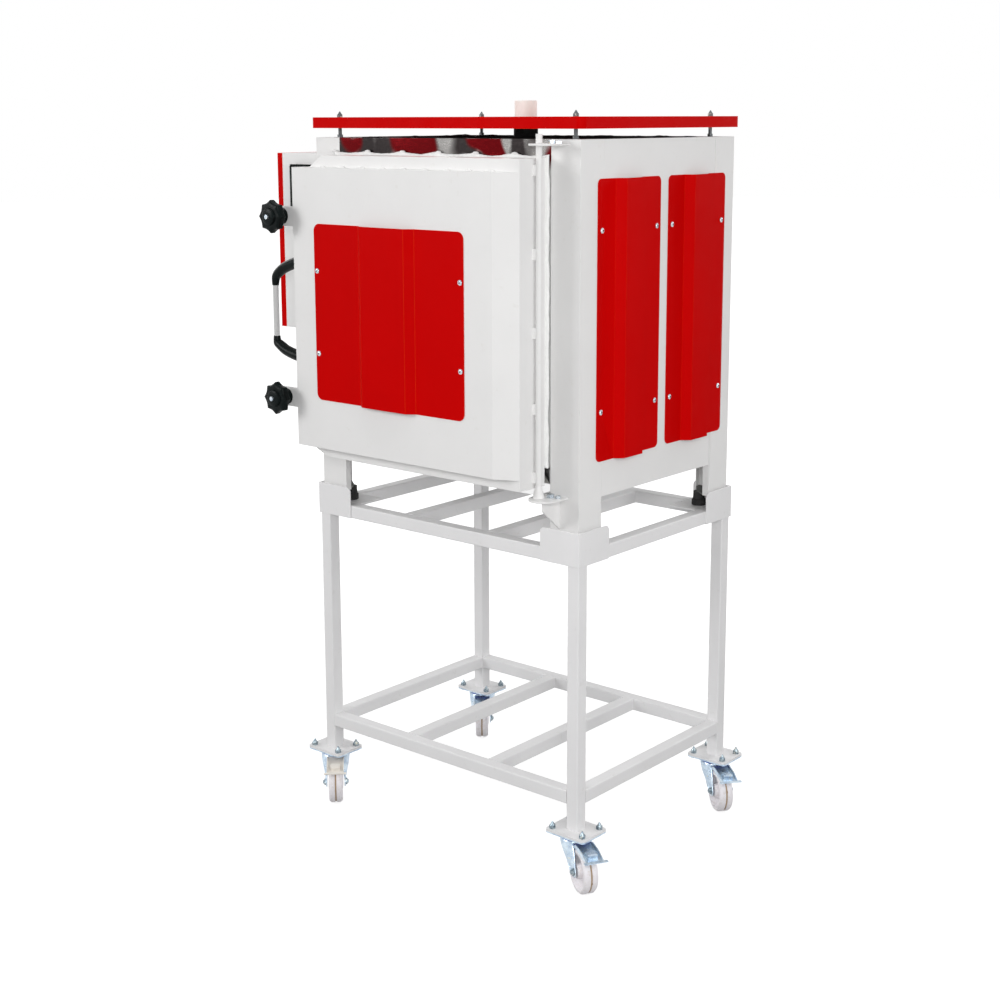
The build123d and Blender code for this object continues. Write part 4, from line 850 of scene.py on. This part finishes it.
def handle():
    """Both elbows, mirrored about the middle of the grip."""
    grip_low, grip_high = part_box("handle_grip")
    low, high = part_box("handle_elbows")
    x, y = (grip_low[0] + grip_high[0]) / 2, (grip_low[1] + grip_high[1]) / 2
    middle = (grip_low[2] + grip_high[2]) / 2
    half = (grip_high[2] - grip_low[2]) / 2
    base = (high[2] - low[2]) / 2 - ELBOW_END
    for side, sign, drop in (("upper", 1, 0.0), ("lower", -1, LOWER_DROP)):
        heights = (half - 0.002, half + 0.014, base - 0.02 - drop, base - 0.006, base + drop)
        steps = (*ELBOW_STEPS, high[0] - x)
        path = [(x + step, y, middle + sign * height + ELBOW_SLOPE * step)
                for step, height in zip(steps, heights)]
        settle(handle_elbow(side, path, ELBOW_RADII), "door", ("handle_elbows",), 50)


# Crown of a fork: radius and drop of its rings in millimetres, from the king pin out to the cheeks.
CROWN_RINGS = ((6.5, 0.0), (26.0, 0.0), (29.5, 0.7), (32.5, 2.6), (34.0, 6.0))
CROWN_POINTS = 48
# Cheeks of a fork: half its width at the axle, radius of the eye and the sheet's thickness in millimetres.
CHEEK_HALF = 23.3
EYE_RADIUS = 12.0
FORK_SHEET = 2.5
# Columns to each side of a cheek's middle, its rows, and how early its back and front edge draw in.
CHEEK_REACH = 8
CHEEK_ROWS = 12
CHEEK_PULL = 1.45
FRONT_PULL = 0.45


def fork_shell(corner):
    """Pressed fork of a castor: a round crown drawn down into two cheeks that close in on the axle."""
    pivot = Vector(JOINTS["swivel_" + corner]["pos_m"])
    axle = Vector(JOINTS["roll_" + corner]["pos_m"])
    trail = Vector((axle.x - pivot.x, axle.y - pivot.y, 0))
    length = trail.length * 1000
    trail.normalize()
    side = Vector((-trail.y, trail.x, 0))
    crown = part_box("castor_fork_" + corner)[1][2] * 1000
    axle_height = axle.z * 1000
    skirt_radius, skirt_drop = CROWN_RINGS[-1]

    def spot(x, y, z):
        return Vector((pivot.x, pivot.y, 0)) + (trail * x + side * y + Vector((0, 0, z))) / 1000

    bm = bmesh.new()
    rings = []
    for radius, drop in CROWN_RINGS:
        rings.append([bm.verts.new(spot(radius * math.cos(angle), radius * math.sin(angle), crown - drop))
                      for angle in angles(CROWN_POINTS)])
    skin(bm, rings)
    middle = CROWN_POINTS // 4
    columns = range(-CHEEK_REACH, CHEEK_REACH + 1)
    for hand in (1, -1):
        rows = [[rings[-1][(hand * middle + k) % CROWN_POINTS] for k in columns]]
        for step in range(1, CHEEK_ROWS + 1):
            share = step / CHEEK_ROWS
            close = share * share * (3 - 2 * share)
            row = []
            for k in columns:
                angle = math.radians(90 * hand) + 2 * math.pi * k / CROWN_POINTS
                x, y = skirt_radius * math.cos(angle), skirt_radius * math.sin(angle)
                forward = -hand * k / CHEEK_REACH
                pull = share ** (CHEEK_PULL - FRONT_PULL * forward)
                low_x = length + EYE_RADIUS * forward
                low_z = axle_height - EYE_RADIUS * math.sqrt(max(0.0, 1 - forward * forward))
                place = spot(x + (low_x - x) * pull, y + (hand * CHEEK_HALF - y) * close,
                             crown - skirt_drop + (low_z - crown + skirt_drop) * share)
                row.append(bm.verts.new(place))
            rows.append(row)
        for near, far in zip(rows, rows[1:]):
            for i in range(2 * CHEEK_REACH):
                bm.faces.new((near[i], far[i], far[i + 1], near[i + 1]))
    bmesh.ops.recalc_face_normals(bm, faces=bm.faces)
    top = max(bm.faces, key=lambda face: face.calc_center_median().z)
    if top.normal.z < 0:
        bmesh.ops.reverse_faces(bm, faces=bm.faces)
    obj = object_from(bm, "fork_pressed_" + corner, "zinc")
    obj.data.shade_smooth()
    settle(obj, "castor_" + corner, ("castor_fork_" + corner,))
    wall = obj.modifiers.new("wall", "SOLIDIFY")
    wall.thickness = FORK_SHEET / 1000
    wall.offset = -1.0
    for hand in (1, -1):
        axle_head(corner, hand, axle, side)


# Depth and radius of a bolt head on its washer in millimetres, and the radii between which it is hexagonal.
AXLE_HEAD_PROFILE = [(0.0, 9.2), (1.2, 9.2), (1.3, 7.6), (5.2, 7.6), (6.2, 6.4), (6.3, 4.4),
                     (9.0, 4.2), (9.8, 3.2)]


HEXAGON_RADII = (6.0, 8.0)
HEAD_SINK = 0.4
HEAD_SCALE = 0.8


def axle_head(corner, hand, axle, side):
    """Bolt head with its washer on one end of a castor's axle."""
    up = Vector((0, 0, 1))
    along = side.cross(up)
    rings = []
    for depth, radius in AXLE_HEAD_PROFILE:
        reach = (CHEEK_HALF - HEAD_SINK + depth * HEAD_SCALE) * hand / 1000
        ring = []
        for angle in angles(24):
            flat = 1.0
            if HEXAGON_RADII[0] < radius < HEXAGON_RADII[1]:
                flat = math.cos(math.pi / 6) / math.cos((angle % (math.pi / 3)) - math.pi / 6)
            out = radius * flat / 1000
            ring.append(axle + side * reach + (along * math.cos(angle) + up * math.sin(angle)) * out)
        rings.append(ring)
    name = "axle_head_" + corner + ("_left" if hand > 0 else "_right")
    turned(name, rings, "nut zinc", "castor_" + corner, sharp=30)


# Section of the blanket: share of its depth, and how far its edge draws back there, in metres.
BLANKET_SECTION = ((0.0, 0.0035), (0.22, 0.001), (0.5, 0.0), (0.78, 0.001), (1.0, 0.0035))
BLANKET_STEP = 0.006
# How far the blanket reaches over the mouth, its tears, its frayed strands and its sag between tabs.
MOUTH_LAP = 0.009
TEAR = 0.0042
FRAY = 0.0018
SAG = 0.0045


def fibre_seal():
    """Fibre blanket round the chamber mouth with torn edges and soft rims."""
    low, high = [Vector(c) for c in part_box("door_seal")]
    mouth_low, mouth_high = [Vector(c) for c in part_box("back_lining")]
    mouth_low = Vector((mouth_low.x + MOUTH_LAP, 0, mouth_low.z + MOUTH_LAP))
    mouth_high = Vector((mouth_high.x - MOUTH_LAP, 0, mouth_high.z - MOUTH_LAP))
    count_x = int((high.x - low.x) / BLANKET_STEP)
    count_z = int((high.z - low.z) / BLANKET_STEP)
    rim = [(i / count_x, 0.0) for i in range(count_x)] + [(1.0, i / count_z) for i in range(count_z)]
    rim += [(1 - i / count_x, 1.0) for i in range(count_x)]
    rim += [(0.0, 1 - i / count_z) for i in range(count_z)]
    rings = []
    for depth, pull in BLANKET_SECTION:
        ring = []
        for u, v in rim:
            x, z = low.x + u * (high.x - low.x), low.z + v * (high.z - low.z)
            tear = 0.5 + 0.5 * noise.noise(Vector((x * 28, z * 28, 1.7)))
            fray = 0.5 + 0.5 * noise.noise(Vector((x * 140, z * 140, depth * 3)))
            back = pull + TEAR * tear + FRAY * fray
            x = min(max(x, low.x + back), high.x - back)
            sag = SAG * abs(math.sin(math.pi * (x - low.x) / TAB_PITCH)) if v == 1.0 else 0.0
            z = min(max(z, low.z + back), high.z - back - sag)
            ring.append((x, low.y + depth * (high.y - low.y), z))
        rings.append(ring)
    for y in (high.y, low.y):
        rings.append([(mouth_low.x + u * (mouth_high.x - mouth_low.x), y,
                       mouth_low.z + v * (mouth_high.z - mouth_low.z)) for u, v in rim])
    bm = bmesh.new()
    loops = [[bm.verts.new(point) for point in ring] for ring in rings]
    skin(bm, loops + loops[:1])
    bmesh.ops.recalc_face_normals(bm, faces=bm.faces)
    settle(object_from(bm, "fibre_seal", "fibre"), "door", ("door_seal",), 70)


# The black top: width of its squares, of the corner posts and of its free edge, and its rise, in metres.
TOP_STEP = 0.008
POST_WIDTH = 0.08
TOP_EDGE = 0.003
VENT_GAP = 0.001
TOP_RISE = 0.0032
TOP_LUMP = 0.0038


def sooty_top():
    """Lumpy black sealing on the sunk top, clear of the posts and the vent."""
    low, high = [Vector(c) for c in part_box("top_panel")]
    vent_low, vent_high = [Vector(c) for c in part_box("vent_collar")]
    centre = (vent_low + vent_high) / 2
    clear = (vent_high.x - vent_low.x) / 2 + VENT_GAP
    bm = bmesh.new()
    grid = {}
    columns = int((high.x - low.x) / TOP_STEP)
    rows = int((high.y - low.y) / TOP_STEP)
    for i in range(columns + 1):
        for j in range(rows + 1):
            x = low.x + TOP_EDGE + (high.x - low.x - 2 * TOP_EDGE) * i / columns
            y = low.y + TOP_EDGE + (high.y - low.y - 2 * TOP_EDGE) * j / rows
            in_corner = min(x - low.x, high.x - x) < POST_WIDTH and min(y - low.y, high.y - y) < POST_WIDTH
            if in_corner or math.hypot(x - centre.x, y - centre.y) < clear:
                continue
            lump = noise.noise(Vector((x * 22, y * 22, 0))) + 0.5 * noise.noise(Vector((x * 60, y * 60, 4)))
            border = min(i, columns - i, j, rows - j)
            rise = TOP_RISE + TOP_LUMP * lump if border > 0 else 0.0
            grid[i, j] = bm.verts.new((x, y, high.z + max(rise, 0.0002)))
    for (i, j), vert in grid.items():
        square = [vert] + [grid.get(key) for key in ((i + 1, j), (i + 1, j + 1), (i, j + 1))]
        if all(square):
            bm.faces.new(square)
    bmesh.ops.delete(bm, geom=[v for v in bm.verts if not v.link_faces], context="VERTS")
    settle(object_from(bm, "sooty_top", "black top"), "kiln", sharp=70)


RED_SHEET = 0.0015
cover_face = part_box("right_panel")[1][0] + RED_SHEET
door_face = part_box("door_skin")[0][1] - RED_SHEET
screw_heads("cover_screw_heads", "cover_screws", "kiln", cover_face, (0, math.pi / 2, 0))
screw_heads("panel_screw_heads", "panel_screws", "door", door_face, (math.pi / 2, 0, 0))
heating_coils()
dust_rings()
door_tabs()
star_knob("knob_upper", "latch_upper")
star_knob("knob_lower", "latch_lower")
handle()
fibre_seal()
sooty_top()
rubber_feet()
switch_ribs()
post_inside_shade_and_foot_cut()
wheel_grooves()
for corner in CORNERS:
    fork_shell(corner)


# Camera, light and floor

def aim(camera, place, yaw, pitch, roll):
    """Turn a camera: yaw to the left, pitch down and roll, all in degrees."""
    turn = Matrix.Rotation(math.radians(yaw), 4, "Z")
    tilt = Matrix.Rotation(math.radians(90 - pitch), 4, "X")
    lean = Matrix.Rotation(math.radians(roll), 4, "Z")
    camera.matrix_world = Matrix.Translation(place) @ turn @ tilt @ lean


# Place of the camera in millimetres, its yaw, pitch and roll in degrees, and its lens and shift per width.
CAMERA_PLACE = (2340.5, -2854.5, 1619.4)
CAMERA_TURN = (40.203, 10.584, -0.17)
SENSOR_WIDTH = 36
LENS_PER_WIDTH = 1.6190
LENS_SHIFT = -0.08


def photo_camera():
    """Camera at the photograph's standpoint, fitted to the stand's and the body's edges."""
    lens = bpy.data.cameras.new("photo camera")
    lens.sensor_width = SENSOR_WIDTH
    lens.lens = SENSOR_WIDTH * LENS_PER_WIDTH
    lens.shift_y = LENS_SHIFT
    lens.clip_end = 50
    camera = linked("photo camera", lens)
    aim(camera, at(*CAMERA_PLACE), *CAMERA_TURN)
    scene.camera = camera


def soft_lamp(name, place, target, size, power):
    """Large square lamp turned towards a point."""
    lamp = bpy.data.lights.new(name, "AREA")
    lamp.size = size
    lamp.energy = power
    obj = linked(name, lamp)
    obj.location = place
    obj.rotation_euler = (target - place).to_track_quat("-Z", "Y").to_euler()


# Name, place in millimetres, size in metres and power in watts of each lamp.
LAMPS = (
    ("front lamp", (-2900, -3600, 2500), 1.8, 92),
    ("right lamp", (4200, -600, 2200), 2.0, 50),
    ("camera lamp", (2100, -2600, 1700), 1.0, 42),
    ("back lamp", (900, 4300, 2500), 2.2, 84),
    ("left lamp", (-4400, 500, 2300), 2.2, 40),
    ("top lamp", (0, -400, 4600), 2.6, 40),
)
KILN_MIDDLE = (0, 0, 750)
WORLD_LIGHT = 0.2


def white_room():
    """White world and soft lamps."""
    world = bpy.data.worlds.new("white room")
    scene.world = world
    world.use_nodes = True
    nodes, links = world.node_tree.nodes, world.node_tree.links
    back = nodes["Background"]
    back.inputs[0].default_value = (1, 1, 1, 1)
    path = nodes.new("ShaderNodeLightPath")
    seen = path.outputs["Is Camera Ray"]
    for ray in ("Is Glossy Ray", "Is Transmission Ray"):
        either = nodes.new("ShaderNodeMath")
        either.operation = "MAXIMUM"
        links.new(seen, either.inputs[0])
        links.new(path.outputs[ray], either.inputs[1])
        seen = either.outputs[0]
    level = nodes.new("ShaderNodeMapRange")
    links.new(seen, level.inputs[0])
    level.inputs["To Min"].default_value = WORLD_LIGHT
    level.inputs["To Max"].default_value = 1.0
    links.new(level.outputs[0], back.inputs[1])
    for name, place, size, power in LAMPS:
        soft_lamp(name, at(*place), at(*KILN_MIDDLE), size, power)


FLOOR_GREY = (0.34, 0.34, 0.34)
# Distance in metres and glow to the camera, near the kiln and from where the floor meets the white world.
NEAR_GLOW = (1.2, 0.8)
FAR_GLOW = (3.0, 1.0)


def white_floor():
    """Round white floor, bright to the camera except where the kiln's shadow falls."""
    finish = Finish("floor", FLOOR_GREY, 0.9)
    path = finish.add("ShaderNodeLightPath")
    seen = finish.arithmetic("MAXIMUM", path.outputs["Is Camera Ray"], path.outputs["Is Glossy Ray"])
    away = finish.add("ShaderNodeVectorMath")
    away.operation = "LENGTH"
    finish.links.new(finish.place, away.inputs[0])
    glow = finish.spread(away.outputs["Value"], NEAR_GLOW[0], FAR_GLOW[0], NEAR_GLOW[1], FAR_GLOW[1])
    finish.shader.inputs["Emission Color"].default_value = (1, 1, 1, 1)
    finish.links.new(finish.arithmetic("MULTIPLY", seen, glow), finish.shader.inputs["Emission Strength"])
    bm = bmesh.new()
    bmesh.ops.create_circle(bm, cap_ends=True, segments=96, radius=30)
    mesh = bpy.data.meshes.new("floor")
    bm.to_mesh(mesh)
    bm.free()
    mesh.materials.append(finish.material)
    linked("floor", mesh)


photo_camera()
white_room()
white_floor()
scene.view_settings.view_transform = "Standard"
